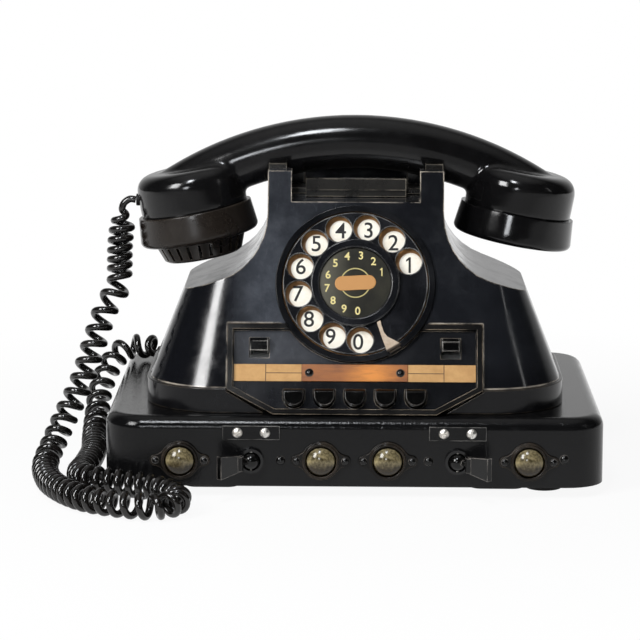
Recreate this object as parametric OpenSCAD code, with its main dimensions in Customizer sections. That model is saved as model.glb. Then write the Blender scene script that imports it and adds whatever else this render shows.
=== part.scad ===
// Desk telephone with a rotary dial, line keys and a lamp box under it.
// Millimetres, +Z up, +X to the right of the user, -Y towards the user.
// The origin is on the table, under the middle of the telephone without its cord.

/* [Lamp box] */
// Width of the lamp box
base_w = 258; // [240:1:300]
// Depth of the lamp box
base_d = 200; // [190:1:230]
// Height of the housing of the lamp box, above its feet
base_h = 36; // [32:1:46]
// Wall of the lamp box
base_wall = 3; // [2:0.5:4]
// Radius of the upright corners of the lamp box
base_corner_r = 20; // [14:1:28]
// Rounding of the top edge of the lamp box
base_edge_r = 6.5; // [3:0.5:8]
// Thickness of the bottom plate
bottom_t = 2; // [1.5:0.5:3]
// Height of the rubber feet
foot_h = 6; // [4:0.5:9]
// Radius of a round foot
foot_r = 9.5; // [7:0.5:11]
// Distance of the round feet from the middle, sideways
foot_x = 99; // [90:1:105]
// Distance of the feet from the front and rear faces
foot_inset = 29; // [12:1:35]
// Length of the oblong pad beside each round foot
pad_l = 28; // [16:1:32]

/* [Lamps and lever keys] */
// Distance of the outer lamps from the middle
lamp_outer_x = 89.7; // [84:0.1:96]
// Distance of the inner lamps from the middle
lamp_inner_x = 17.2; // [16.8:0.1:20]
// Height of the lamps and lever keys above the table
lamp_z = 19.6; // [18:0.1:24]
// Radius of a lamp lens
lens_r = 7.8; // [6:0.1:8.5]
// How far a lens bulges out of its ring
lens_bulge = 4; // [2:0.5:6]
// Thickness of the flange of a lamp bezel
bezel_t = 1.5; // [1:0.1:2.5]
// Distance of the two flange screws from the lamp's middle
bezel_screw_x = 12.5; // [11.5:0.1:14]
// Distance of the lever keys from the middle
key_x = 53; // [50:0.5:58]
// Angle to which a lever key is thrown, each way
key_throw = 40; // [20:1:45]
// Length of a lever from its pivot to its tip
lever_l = 24.32; // [20:0.01:28]
// Height of a lever's paddle
paddle_h = 12; // [8:0.5:14]
// Thickness of a lever's paddle
paddle_t = 3; // [2.5:0.1:4]
// Radius of a lever's pivot pin
pivot_r = 0.8; // [0.6:0.1:1]
// Width of the name plate above a lever key
key_plate_w = 29.4; // [24:0.2:32]
// Height of the name plate above a lever key
key_plate_h = 7.2; // [5.8:0.1:7.6]

/* [Telephone body] */
// Width of the shell at its lower rim
shell_w = 216; // [205:1:230]
// Depth of the shell at its lower rim
shell_d = 140; // [134:1:150]
// Radius of the shell's corners at its lower rim
shell_corner_r = 40; // [30:1:48]
// Wall of the shell
shell_wall = 4; // [3:0.5:5]
// Distance of the shell's middle in front of the lamp box's middle
shell_forward = 18; // [10:1:22]
// Height of the plinth under the shell
plinth_h = 13; // [11:1:18]
// How far the plinth stands out of the shell
plinth_lip = 1.5; // [0.5:0.5:3]
// Lean of the front, the rear and the sides, from upright
face_tilt = 20.5; // [18:0.5:22]
// Height of the shoulders above the plinth
shoulder_h = 46; // [42:1:50]
// Height of the cradle posts above the plinth
post_h = 108; // [104:1:114]
// Half width over the cradle posts
post_out_x = 46; // [44:0.5:50]
// Half width of the notch between the posts
notch_x = 33.5; // [30:0.5:36]
// Depth of the notch between the posts
notch_h = 15.5; // [13:0.5:18]
// Radius of the sweep from the post down to the shoulder
sweep_r = 35; // [30:1:40]

/* [Dial] */
// Height of the dial's middle above the plinth
dial_h = 51.6; // [50:0.2:54]
// Radius of the finger wheel
wheel_r = 37.5; // [36:0.5:39]
// Thickness of the finger wheel
wheel_t = 2.4; // [2:0.1:3]
// Radius of the circle of finger holes
hole_ring_r = 30; // [29:0.1:30.5]
// Radius of a finger hole
finger_hole_r = 6.8; // [5.8:0.1:7]
// Angle between finger holes
hole_step = 28; // [26:0.5:29]
// Angle of the first finger hole
hole_start = 23; // [20:1:30]
// Angle of the finger stop
stop_angle = 301; // [298:1:306]
// Width of the dial's outer ring
dial_ring_w = 3.2; // [2.5:0.1:4]
// Radius of the number card
card_r = 18.6; // [16:0.2:19]
// Width of the ring around the number card
card_ring_w = 4.6; // [3:0.1:4.8]
// Radius of the dial's arbor
arbor_r = 4; // [3:0.1:5]
// Teeth of the dial's gear
gear_teeth = 40; // [30:1:44]
// Teeth of the governor's pinion
pinion_teeth = 10; // [8:1:12]

/* [Key panel] */
// Half width of the key panel
panel_x = 66; // [62:0.5:70]
// Height of the key panel along its slope
panel_l = 48.5; // [47:0.5:50]
// Lean of the key panel, from upright
panel_tilt = 25; // [23:0.5:27]
// Height of the panel's top edge above the plinth
panel_top_h = 32; // [30:0.5:34]
// Width of the panel's rim
rim_w = 3; // [2:0.1:4]
// Depth of the plate inside the rim
panel_sink = 2.5; // [1.5:0.1:4]
// Distance between the line buttons
button_step = 15.7; // [14:0.1:17]
// Radius of a line button
button_r = 5.2; // [4.5:0.1:6]
// Travel of a line button
button_travel = 3.5; // [2:0.1:3.6]
// Distance of the call keys from the middle
call_key_x = 49.5; // [48:0.1:52]
// Width of a call key
call_key_w = 9.4; // [8:0.1:11]
// Height of the label strip
strip_h = 9; // [7:0.1:9.4]

/* [Handset] */
// Radius of the handle's middle line
handle_arc_r = 174; // [168:1:180]
// Width of the handle
handle_w = 26; // [22:0.5:28]
// Height of the handle's section
handle_h = 28.5; // [26:0.5:30]
// Height of the top of the handle above the plinth
handle_top_h = 134.5; // [132:0.5:138]
// Distance of the cups from the middle
cup_x = 86; // [84:0.5:92]
// Height of the cups' seams above the plinth
cup_seam_h = 84.5; // [81:0.5:87]
// Tilt of the cups
cup_tilt = 11; // [8:0.5:13]
// Radius of a cup
cup_r = 28.5; // [27:0.1:29]
// Height of a cup above its seam
cup_h = 21.5; // [20:0.5:26]
// Radius of a cap where it meets the cup
cap_r = 30.3; // [29.8:0.1:31]
// Height of a cap
cap_h = 16; // [11:0.5:18]
// Lift of the cradle fork
fork_rise = 5; // [3:0.5:6]

/* [Cord] */
// Diameter of the cord
cord_d = 3.8; // [3:0.1:4]
// Radius of the middle of a curl
curl_r = 5.2; // [4.5:0.1:5.4]

/* [Clearances] */
// Gap between pieces that move past each other
run_gap = 0.4; // [0.3:0.05:0.6]
// Gap between a shaft and its bearing, on the radius
bearing_gap = 0.05; // [0.02:0.01:0.1]
// Gap between fixed pieces that sit in each other
seat_gap = 0.2; // [0.1:0.05:0.3]

/* [Hidden] */
$fn = 48;
eps = 0.01;

// Places that follow from the sizes above, with y counted from the middle of the lamp box
base_top_z = foot_h + base_h;
base_front_y = -base_d / 2;
pivot_out = 1.5;
gland_flange_t = 4;
lever_reach = lever_l * cos(key_throw) + paddle_t / 2 * sin(key_throw) + pivot_out;
base_y = (lever_reach - gland_flange_t) / 2;
body_y = -shell_forward;
seam_z = base_top_z + plinth_h;
post_top_z = seam_z + post_h;
notch_z = post_top_z - notch_h;
slope = tan(face_tilt);
dial_z = seam_z + dial_h;
panel_top_z = seam_z + panel_top_h;
function face_y(z) = body_y - shell_d / 2 + (z - seam_z) * slope;

// Colours
black = "#16161a";
dark = "#24221f";
metal = "#a8a29a";
brass = "#a8854a";
cream = "#d9bd8a";

// Moves a piece from the lamp box's middle to the origin under the whole telephone
module set_down() { translate([0, base_y, 0]) children(); }

// Faces the front of the lamp box: x to the right, y up, z towards the user
module on_base_front(x, z) { translate([x, base_front_y, z]) rotate([90, 0, 0]) children(); }

// Faces the dial: its middle at the origin, z along its arbor
module on_dial() { translate([0, face_y(dial_z), dial_z]) rotate([90 - face_tilt, 0, 0]) children(); }

// Faces the key panel: origin in the middle of its top edge, y up the slope, z outwards
module on_panel() {
    translate([0, face_y(panel_top_z), panel_top_z]) rotate([90 - panel_tilt, 0, 0]) children();
}

// Plate with round corners
module round_slab(w, d, r, h) {
    linear_extrude(h) {
        square([w - 2 * r, d], center = true);
        square([w, d - 2 * r], center = true);
        for (sx = [-1, 1], sy = [-1, 1]) translate([sx * (w / 2 - r), sy * (d / 2 - r)]) circle(r);
    }
}

// Dome-headed screw with its shank, standing on z = 0
module dome_screw(head_r, head_h, shank_r, shank_l) {
    ball_r = (head_r * head_r + head_h * head_h) / (2 * head_h);
    intersection() {
        translate([0, 0, head_h - ball_r]) sphere(ball_r);
        cylinder(r = head_r, h = head_h);
    }
    translate([0, 0, -shank_l]) cylinder(r = shank_r, h = shank_l + eps);
}

// Lamp box

foot_y = base_d / 2 - foot_inset;
lamp_xs = [-lamp_outer_x, -lamp_inner_x, lamp_inner_x, lamp_outer_x];
key_xs = [-key_x, key_x];
boss_r = 6.4;
boss_h = 3.2;
boss_hole_r = 5.6;
cable_x = 70;
cable_r = 3.5;
cable_hole_r = 6;
wire_hole_r = 8;
small_shank_r = 1;
small_shank_l = bezel_t + base_wall;
key_plate_lift = 2.2;
key_plate_z = base_top_z - base_edge_r + key_plate_lift - key_plate_h / 2;
key_plate_screw_x = 7.1;
key_plate_t = 1;
nickel_shank_r = 1.2;
rivet_places = [[-37.9, 0], [38.1, 0], [lamp_outer_x + 18.1, 1.4]];

module base_form() {
    hull() {
        for (sx = [-1, 1], sy = [-1, 1])
            translate([sx * (base_w / 2 - base_corner_r), sy * (base_d / 2 - base_corner_r), foot_h])
                rotate_extrude($fn = 32) {
                    square([base_corner_r, base_h - base_edge_r]);
                    square([base_corner_r - base_edge_r, base_h]);
                    intersection() {
                        translate([base_corner_r - base_edge_r, base_h - base_edge_r])
                            circle(base_edge_r, $fn = 32);
                        square([base_corner_r, base_h]);
                    }
                }
    }
}

module base_housing() color(black) set_down() {
    difference() {
        base_form();
        translate([0, 0, foot_h - eps])
            round_slab(base_w - 2 * base_wall, base_d - 2 * base_wall, base_corner_r - base_wall,
                base_h - base_wall + eps);
        for (x = lamp_xs) {
            on_base_front(x, lamp_z) translate([0, 0, -2 * base_wall])
                cylinder(r = lens_r + seat_gap, h = 3 * base_wall);
            for (s = [-1, 1]) on_base_front(x + s * bezel_screw_x, lamp_z)
                translate([0, 0, -2 * base_wall]) cylinder(r = small_shank_r + seat_gap, h = 3 * base_wall);
        }
        for (x = key_xs) {
            on_base_front(x, lamp_z) translate([0, 0, -2 * base_wall])
                cylinder(r = boss_hole_r, h = 3 * base_wall);
            for (s = [-1, 1]) on_base_front(x + s * key_plate_screw_x, key_plate_z)
                translate([0, 0, -2 * base_wall])
                    cylinder(r = nickel_shank_r + seat_gap, h = 3 * base_wall);
        }
        for (p = rivet_places) on_base_front(p[0], lamp_z + p[1])
            translate([0, 0, -2 * base_wall]) cylinder(r = small_shank_r + seat_gap, h = 3 * base_wall);
        translate([cable_x, base_d / 2 - 2 * base_wall, lamp_z]) rotate([-90, 0, 0])
            cylinder(r = cable_hole_r + seat_gap, h = 3 * base_wall);
        translate([0, body_y, base_top_z - 2 * base_wall]) cylinder(r = wire_hole_r, h = 3 * base_wall);
    }
}

module bottom_plate() color(dark) set_down() {
    translate([0, 0, foot_h])
        round_slab(base_w - 2 * base_wall - 2 * seat_gap, base_d - 2 * base_wall - 2 * seat_gap,
            base_corner_r - base_wall - seat_gap, bottom_t);
}

module rubber_feet() color("#101010") set_down() {
    for (sx = [-1, 1], sy = [-1, 1]) translate([sx * foot_x, sy * foot_y, 0]) {
        cylinder(r = foot_r, h = foot_h);
        translate([-sx * (foot_r + pad_l / 2 + 1), 0, 0]) linear_extrude(foot_h) {
            square([pad_l - 2 * foot_r * 0.6, 2 * foot_r * 0.6], center = true);
            for (s = [-1, 1]) translate([s * (pad_l / 2 - foot_r * 0.6), 0]) circle(foot_r * 0.6);
        }
    }
}

lens_ring_t = 1.2;
lens_ring_h = 3;
ear_r = 2.9;
flank_r = 6;

// Eye-shaped flange with a raised ring around the lens
module lamp_bezels() color(black) set_down() {
    for (x = lamp_xs) on_base_front(x, lamp_z) difference() {
        union() {
            linear_extrude(bezel_t) offset(r = -flank_r, $fn = 32) offset(delta = flank_r, $fn = 32) {
                circle(lens_r + 2.4, $fn = 32);
                for (s = [-1, 1]) translate([s * bezel_screw_x, 0]) circle(ear_r, $fn = 32);
            }
            cylinder(r = lens_r + seat_gap + lens_ring_t, h = lens_ring_h);
        }
        translate([0, 0, -eps]) cylinder(r = lens_r + seat_gap, h = lens_ring_h + 1);
        for (s = [-1, 1]) translate([s * bezel_screw_x, 0, -eps])
            cylinder(r = small_shank_r + seat_gap, h = bezel_t + 1);
    }
}

lens_back = 2;

module lamp_lens(i) color("#8a7a3a") set_down() {
    ball_r = (lens_r * lens_r + lens_bulge * lens_bulge) / (2 * lens_bulge);
    on_base_front(lamp_xs[i], lamp_z) {
        translate([0, 0, -lens_back]) cylinder(r = lens_r, h = lens_back + lens_ring_h - 1);
        translate([0, 0, lens_ring_h - 1]) intersection() {
            translate([0, 0, lens_bulge - ball_r]) sphere(ball_r, $fn = 64);
            cylinder(r = lens_r, h = lens_bulge);
        }
    }
}

holder_l = 26;
bulb_r = 4;

module lamp_holders() color(brass) set_down() {
    for (x = lamp_xs) on_base_front(x, lamp_z) difference() {
        translate([0, 0, -base_wall - holder_l]) cylinder(r = lens_r + 1.5, h = holder_l);
        translate([0, 0, -base_wall - holder_l + 2]) cylinder(r = lens_r, h = holder_l);
        translate([0, 0, -base_wall - holder_l - 1]) cylinder(r = bulb_r - 1 + seat_gap, h = holder_l);
    }
}

module lamp_bulbs() color("#e8e0c8") set_down() {
    for (x = lamp_xs) on_base_front(x, lamp_z) {
        translate([0, 0, -base_wall - holder_l - 1]) cylinder(r = bulb_r - 1, h = 6);
        translate([0, 0, -base_wall - holder_l + 2 + seat_gap]) cylinder(r = bulb_r, h = 12);
        translate([0, 0, -base_wall - holder_l + 14 + seat_gap]) sphere(bulb_r);
    }
}

small_head_r = 2.1;
small_head_h = 1.2;
label_screw_x = 23.5;
label_screw_r = 2.3;
strip_y = -25.9;
label_plate_t = 0.8;
paper_t = 0.4;

module black_screws() color("#0c0c0c") set_down() {
    for (x = lamp_xs, s = [-1, 1]) on_base_front(x + s * bezel_screw_x, lamp_z)
        translate([0, 0, bezel_t]) dome_screw(small_head_r, small_head_h, small_shank_r, small_shank_l);
    for (p = rivet_places) on_base_front(p[0], lamp_z + p[1])
        dome_screw(small_head_r + 0.4, small_head_h + 0.3, small_shank_r, base_wall);
    on_panel() for (s = [-1, 1]) translate([s * label_screw_x, strip_y, -panel_sink + label_plate_t])
        dome_screw(label_screw_r, 1.2, small_shank_r, label_plate_t + panel_plate_t);
}

module key_plate(x) color(black) set_down() {
    on_base_front(x, key_plate_z) difference() {
        translate([-key_plate_w / 2, -key_plate_h / 2, 0]) cube([key_plate_w, key_plate_h, key_plate_t]);
        for (s = [-1, 1]) translate([s * key_plate_screw_x, 0, -eps])
            cylinder(r = nickel_shank_r + seat_gap, h = key_plate_t + 1);
    }
}

slot_w = 0.9;
slot_depth = 0.9;
nickel_head_r = 2.7;
nickel_head_h = 1.3;

module nickel_screws() color("#cfcac0") set_down() {
    for (x = key_xs, s = [-1, 1]) on_base_front(x + s * key_plate_screw_x, key_plate_z)
        translate([0, 0, key_plate_t]) difference() {
            dome_screw(nickel_head_r, nickel_head_h, nickel_shank_r, key_plate_t + base_wall);
            rotate([0, 0, 60 + 25 * s]) translate([-nickel_head_r, -slot_w / 2, nickel_head_h - slot_depth])
                cube([2 * nickel_head_r, slot_w, 2 * slot_depth]);
        }
}

// Lever keys: a ball with a paddle, turning on a pin in a ring on the front, and a frame behind

lever_ball_r = 4.6;
stem_r = 1.6;
barrel_r = 2.6;
barrel_h = 7.6;
paddle_start = 9.7;
tail_r = 1.2;
tail_l = 9;
pin_l = 2 * (boss_r - 0.5);
frame_gap = 3.8;
frame_t = 2;
key_frame_w = 12;
key_frame_l = 26;

module key_boss(x) color(black) set_down() {
    on_base_front(x, lamp_z) difference() {
        cylinder(r = boss_r, h = boss_h);
        translate([0, 0, -eps]) cylinder(r = lever_ball_r + run_gap, h = boss_h + 1);
        translate([0, 0, pivot_out]) rotate([90, 0, 0])
            cylinder(r = pivot_r + seat_gap, h = 3 * boss_r, center = true);
    }
}

// side is -1 for the left key, thrown to the left, and 1 for the right key, thrown to the right
module key_lever(side) color("#1b1a18") set_down() {
    low = barrel_h / 2 + 0.4;
    translate([side * key_x, base_front_y - pivot_out, lamp_z]) rotate([0, 0, side * key_throw]) {
        difference() {
            union() {
                sphere(lever_ball_r, $fn = 64);
                rotate([90, 0, 0]) cylinder(r = stem_r, h = paddle_start);
                rotate([-90, 0, 0]) cylinder(r = tail_r, h = tail_l);
                translate([0, -paddle_start, 0]) cylinder(r = barrel_r, h = barrel_h, center = true);
                translate([-paddle_t / 2, 0, 0]) rotate([90, 0, 90]) linear_extrude(paddle_t)
                    polygon([[-lever_l, -paddle_h / 2], [-paddle_start, -low], [-paddle_start, low],
                        [-lever_l, paddle_h / 2]]);
            }
            cylinder(r = pivot_r + bearing_gap, h = 3 * lever_ball_r, center = true);
        }
    }
}

module key_frames() color(metal) set_down() {
    for (x = key_xs) translate([x, base_front_y + base_wall, lamp_z]) {
        for (s = [-1, 1]) translate([-key_frame_w / 2, 0, s * (frame_gap + frame_t / 2) - frame_t / 2])
            cube([key_frame_w, key_frame_l, frame_t]);
        translate([-key_frame_w / 2, key_frame_l - frame_t, -frame_gap - frame_t])
            cube([key_frame_w, frame_t, 2 * (frame_gap + frame_t)]);
    }
}

module key_pivot_pins() color("#c8c8c8") set_down() {
    for (x = key_xs) translate([x, base_front_y - pivot_out, lamp_z])
        cylinder(r = pivot_r, h = pin_l, center = true);
}

module line_cable_gland() color("#141414") set_down() {
    translate([cable_x, base_d / 2, lamp_z]) rotate([-90, 0, 0]) difference() {
        union() {
            translate([0, 0, -base_wall - 2]) cylinder(r = cable_hole_r, h = base_wall + 2);
            cylinder(r = cable_hole_r + 2.5, h = gland_flange_t);
        }
        translate([0, 0, -base_wall - 3]) cylinder(r = cable_r, h = base_wall + gland_flange_t + 4);
    }
}

strip_l = 70;

strip_inset = 40;

module terminal_strip() color("#3a2a1c") set_down() {
    translate([0, base_d / 2 - strip_inset, foot_h + bottom_t]) {
        translate([-strip_l / 2, -7, 0]) cube([strip_l, 14, 7]);
        for (i = [-3:3]) translate([i * 9, 0, 7 - eps]) cylinder(r = 2.2, h = 2.5);
    }
}

// Telephone body

plinth_w = shell_w + 2 * plinth_lip;
plinth_d = shell_d + 2 * plinth_lip;
plinth_wall = 5;
chassis_t = 2;
side_slope = tan(face_tilt + 1);
side_x = function(z) shell_w / 2 - (z - seam_z) * side_slope;
shoulder_z = seam_z + shoulder_h;

// Tapering block with round corners, drawn in by inset on every side
module shell_block(inset, low_z, high_z) {
    hull() for (z = [low_z, high_z]) translate([0, body_y, z]) {
        r = max(4, shell_corner_r - (z - seam_z) * 0.3 - inset);
        w = side_x(z) - inset - r;
        d = shell_d / 2 - (z - seam_z) * slope - inset - r;
        for (sx = [-1, 1], sy = [-1, 1]) translate([sx * w, sy * d, 0]) cylinder(r = r, h = eps, $fn = 32);
    }
}

sweep_end = 70;
sweep_over = 7.5;
shoulder_run = 40;
shoulder_fall = 20;

// Front outline of the shell: posts, sweeps and shoulders
module shell_outline(inset) {
    cx = post_out_x + sweep_r;
    cz = shoulder_z + sweep_over + sweep_r * sin(sweep_end) - inset;
    far_x = side_x(shoulder_z) + shoulder_run;
    far_z = shoulder_z - inset - shoulder_run * tan(shoulder_fall);
    polygon(concat(
        [[-shell_w, seam_z - 1], [shell_w, seam_z - 1], [shell_w, seam_z], [far_x, far_z]],
        [for (a = [sweep_end:-10:0]) [cx - inset - sweep_r * cos(a), cz - sweep_r * sin(a)]],
        [[post_out_x - inset, post_top_z - inset], [inset - post_out_x, post_top_z - inset]],
        [for (a = [0:10:sweep_end]) [inset - cx + sweep_r * cos(a), cz - sweep_r * sin(a)]],
        [[-far_x, far_z], [-shell_w, seam_z]]));
}

module shell_solid(inset) {
    intersection() {
        shell_block(inset, seam_z - (inset > 0 ? 1 : 0), post_top_z);
        translate([0, shell_d, 0]) rotate([90, 0, 0]) linear_extrude(2 * shell_d + 2 * shell_forward)
            shell_outline(inset);
    }
}

channel_d = handle_w + 11;

// Outline of the key panel, drawn in by d on every side
panel_cut_x = 24;
panel_cut_y = 13;
cut_l = norm([panel_cut_x, panel_cut_y]);
function inset_panel(d) =
    let (side = panel_x - d, foot = panel_x - panel_cut_x - d * (cut_l - panel_cut_x) / panel_cut_y,
        knee = panel_cut_y - panel_l + d * (cut_l - panel_cut_y) / panel_cut_x)
    [[-side, -d], [side, -d], [side, knee], [foot, d - panel_l], [-foot, d - panel_l], [-side, knee]];
panel_depth = 9;
panel_plate_t = 2.5;
panel_room = 8;
dial_ring_r = wheel_r + 0.7 + dial_ring_w;

module panel_opening() {
    on_panel() translate([0, 0, -panel_depth - panel_room]) linear_extrude(panel_depth + panel_room + 20)
        polygon(inset_panel(-seat_gap));
}

dial_bore_back = 20;

module dial_opening() {
    on_dial() translate([0, 0, -dial_bore_back]) cylinder(r = dial_ring_r + seat_gap, h = 3 * dial_bore_back);
}

plunger_x = 20;
plunger_r = 3;

rear_notch_x = notch_x - 5.7;
finger_room = handle_w / 2 + 14.9;

module body_shell() color(black) set_down() {
    difference() {
        shell_solid(0);
        difference() {
            shell_solid(shell_wall);
            translate([-notch_x - shell_wall, body_y - shell_d, notch_z - shell_wall])
                cube([2 * (notch_x + shell_wall), 2 * shell_d, post_h]);
            translate([-shell_w, body_y - channel_d / 2 - shell_wall, notch_z - shell_wall])
                cube([2 * shell_w, channel_d + 2 * shell_wall, post_h]);
        }
        translate([-notch_x, body_y - shell_d, notch_z]) cube([2 * notch_x, shell_d, post_h]);
        translate([-rear_notch_x, body_y, notch_z]) cube([2 * rear_notch_x, finger_room, post_h]);
        translate([-shell_w, body_y - channel_d / 2, notch_z]) cube([2 * shell_w, channel_d, post_h]);
        for (s = [-1, 1]) translate([s * plunger_x, body_y, notch_z - 2 * shell_wall])
            cylinder(r = plunger_r + run_gap, h = 3 * shell_wall);
        panel_opening();
        dial_opening();
    }
}

gland_turn = 45;
gland_z = base_top_z + 7;
gland_x = plinth_w / 2 - shell_corner_r + shell_corner_r * cos(gland_turn);
gland_y = body_y + plinth_d / 2 - shell_corner_r + shell_corner_r * sin(gland_turn);
gland_r = 4;
gland_l = 5;

module on_cord_gland() {
    translate([-gland_x, gland_y, gland_z]) rotate([0, 0, gland_turn]) rotate([-90, 0, 0]) children();
}

module body_plinth() color("#131313") set_down() {
    difference() {
        translate([0, body_y, base_top_z]) round_slab(plinth_w, plinth_d, shell_corner_r, plinth_h);
        translate([0, body_y, base_top_z - eps])
            round_slab(plinth_w - 2 * plinth_wall, plinth_d - 2 * plinth_wall,
                shell_corner_r - plinth_wall, plinth_h + 1);
        panel_opening();
        on_cord_gland() translate([0, 0, -2 * plinth_wall])
            cylinder(r = gland_r + seat_gap, h = 3 * plinth_wall);
    }
}

module chassis_plate() color("#6a665e") set_down() {
    difference() {
        translate([0, body_y, base_top_z]) round_slab(plinth_w - 2 * plinth_wall - 2 * seat_gap,
            plinth_d - 2 * plinth_wall - 2 * seat_gap, shell_corner_r - plinth_wall - seat_gap, chassis_t);
        translate([0, body_y, base_top_z - 1]) cylinder(r = wire_hole_r, h = chassis_t + 2);
        panel_opening();
    }
}

module body_cord_gland() color("#141414") set_down() {
    on_cord_gland() difference() {
        translate([0, 0, -plinth_wall]) cylinder(r = gland_r, h = plinth_wall + gland_l);
        translate([0, 0, -plinth_wall - 1])
            cylinder(r = cord_d / 2 + seat_gap, h = plinth_wall + gland_l - 2);
    }
}

// Key panel

button_xs = [for (i = [-2:2]) i * button_step];
button_y = -39;
button_cap_l = 6.5;
button_proud = 2.5;
stem_r_button = 2;
stem_over = 0.5;
frame_z = -button_cap_l - button_travel - 0.5;
button_frame_t = 2;
button_top = 4.06;
button_slant = 2.6;
stem_l = stem_over + button_frame_t - frame_z - button_cap_l;
call_key_y = -11.2;
call_key_h = 7.4;
call_key_room = 2.6;
call_key_peak = 2.6;
call_key_lip = 1.2;

module panel_frame() color("#191919") set_down() {
    difference() {
        on_panel() translate([0, 0, -panel_depth]) linear_extrude(panel_depth) difference() {
            polygon(inset_panel(0));
            polygon(inset_panel(rim_w));
        }
        dial_opening();
        translate([-shell_w / 2, base_front_y - base_h, 0]) cube([shell_w, base_d, base_top_z]);
    }
}

// Round below and square above, as the line buttons are
module button_outline(grow = 0) {
    wide = button_r + grow;
    high = button_top + grow;
    polygon(concat([[wide, high], [-wide, high]], [for (a = [180:7.5:360]) wide * [cos(a), sin(a)]]));
}

module panel_plate() color("#22242a") set_down() {
    difference() {
        on_panel() translate([0, 0, -panel_sink - panel_plate_t]) linear_extrude(panel_plate_t)
            polygon(inset_panel(rim_w + seat_gap));
        dial_opening();
        on_panel() translate([0, 0, -panel_sink - 2 * panel_plate_t]) {
            for (x = button_xs) translate([x, button_y, 0])
                linear_extrude(4 * panel_plate_t) button_outline(run_gap);
            for (s = [-1, 1]) translate([s * call_key_x, call_key_y - call_key_room / 2, 2 * panel_plate_t])
                cube([call_key_w + 2 * run_gap, call_key_h + call_key_room + 2 * run_gap, 4 * panel_plate_t],
                    center = true);
            for (s = [-1, 1]) translate([s * label_screw_x, strip_y, 0])
                cylinder(r = small_shank_r + seat_gap, h = 4 * panel_plate_t);
        }
    }
}

paper_start_x = 27.5;
paper_end_x = panel_x - rim_w - 0.6;

module label_papers() color(cream) set_down() {
    on_panel() for (s = [-1, 1])
        translate([s * (paper_start_x + paper_end_x) / 2, strip_y, -panel_sink + paper_t / 2])
        cube([paper_end_x - paper_start_x, strip_h, paper_t], center = true);
}

module label_plate() color("#9a6a3a") set_down() {
    difference() {
        on_panel() translate([0, strip_y, -panel_sink + label_plate_t / 2]) difference() {
            cube([2 * paper_start_x - 2 * seat_gap, strip_h, label_plate_t], center = true);
            for (s = [-1, 1]) translate([s * label_screw_x, 0, 0])
                cylinder(r = small_shank_r + seat_gap, h = 3, center = true);
        }
        dial_opening();
    }
}

// Stem behind a button or key, running in the frame
module button_stem() {
    translate([0, 0, frame_z - button_frame_t - stem_over]) cylinder(r = stem_r_button, h = stem_l + eps);
}

// Button with a flat upper side and a stem that runs in the frame behind
module line_button(i) color("#0e0e10") set_down() {
    on_panel() translate([button_xs[i], button_y, 0]) {
        difference() {
            translate([0, 0, -button_cap_l]) linear_extrude(button_cap_l + button_proud) button_outline();
            translate([0, button_top, button_proud]) rotate([45, 0, 0])
                cube([3 * button_r, button_slant, button_slant], center = true);
        }
        button_stem();
    }
}

module call_key(side) color("#0e0e10") set_down() {
    on_panel() translate([side * call_key_x, call_key_y, 0]) {
        translate([call_key_w / 2, 0, 0]) rotate([0, -90, 0]) linear_extrude(call_key_w)
            polygon([[-button_cap_l, -call_key_h / 2], [-button_cap_l, call_key_h / 2],
                [-1, call_key_h / 2],
                [call_key_peak, call_key_lip], [call_key_lip, -call_key_h / 2]]);
        button_stem();
    }
}

module button_frame() color(metal) set_down() {
    arm_in = call_key_x - 6;
    arm_out = call_key_x + 7;
    low = button_y - 3.5;
    knee = low + 12;
    bar = button_y + 8;
    post_places = [for (s = [-1, 1],
        p = [[arm_in + 1, button_y], [arm_out - 3, call_key_y - 9]]) [s * p[0], p[1]]];
    on_panel() difference() {
        union() {
            translate([0, 0, frame_z - button_frame_t]) linear_extrude(button_frame_t)
                polygon([[-arm_out, -5], [-arm_in, -5], [-arm_in, bar], [arm_in, bar], [arm_in, -5],
                    [arm_out, -5],
                    [arm_out, knee], [arm_in + 4, low], [-arm_in - 4, low], [-arm_out, knee]]);
            for (p = post_places) translate([p[0], p[1], frame_z - eps])
                cylinder(r = 2, h = -frame_z - panel_sink - panel_plate_t + eps);
        }
        for (x = button_xs) translate([x, button_y, frame_z - 2 * button_frame_t])
            cylinder(r = stem_r_button + bearing_gap, h = 3 * button_frame_t);
        for (s = [-1, 1]) translate([s * call_key_x, call_key_y, frame_z - 2 * button_frame_t])
            cylinder(r = stem_r_button + bearing_gap, h = 3 * button_frame_t);
    }
}

// Cradle

handle_z = seam_z + handle_top_h - handle_h / 2 - handle_arc_r;
handle_round = handle_w / 2;
fork_z = notch_z + run_gap;
fork_t = 3;
ear_in_x = 36.5;
ear_top_z = post_top_z + 2.4;

// Bent bar of the handle, made larger all round by grow
module handle_bar(grow, half_angle) {
    straight = handle_h / 2 - handle_round;
    translate([0, body_y, handle_z]) rotate([90, 0, 0]) rotate([0, 0, 90 - half_angle])
        rotate_extrude(angle = 2 * half_angle, $fn = 96) translate([handle_arc_r, 0]) {
            for (s = [-1, 1]) translate([s * straight, 0]) circle(handle_round + grow);
            square([2 * straight, 2 * (handle_round + grow)], center = true);
        }
}

fork_bar_h = 9.7;
fork_bar_t = 3.4;
fork_plate_back = 14;
fork_set_back = 1.2;
fork_lip_h = 3.6;
fork_side_gap = 0.2;
fork_half = post_out_x - fork_side_gap;
plunger_l = 19 + fork_rise;
fork_cut_angle = 25;

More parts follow.
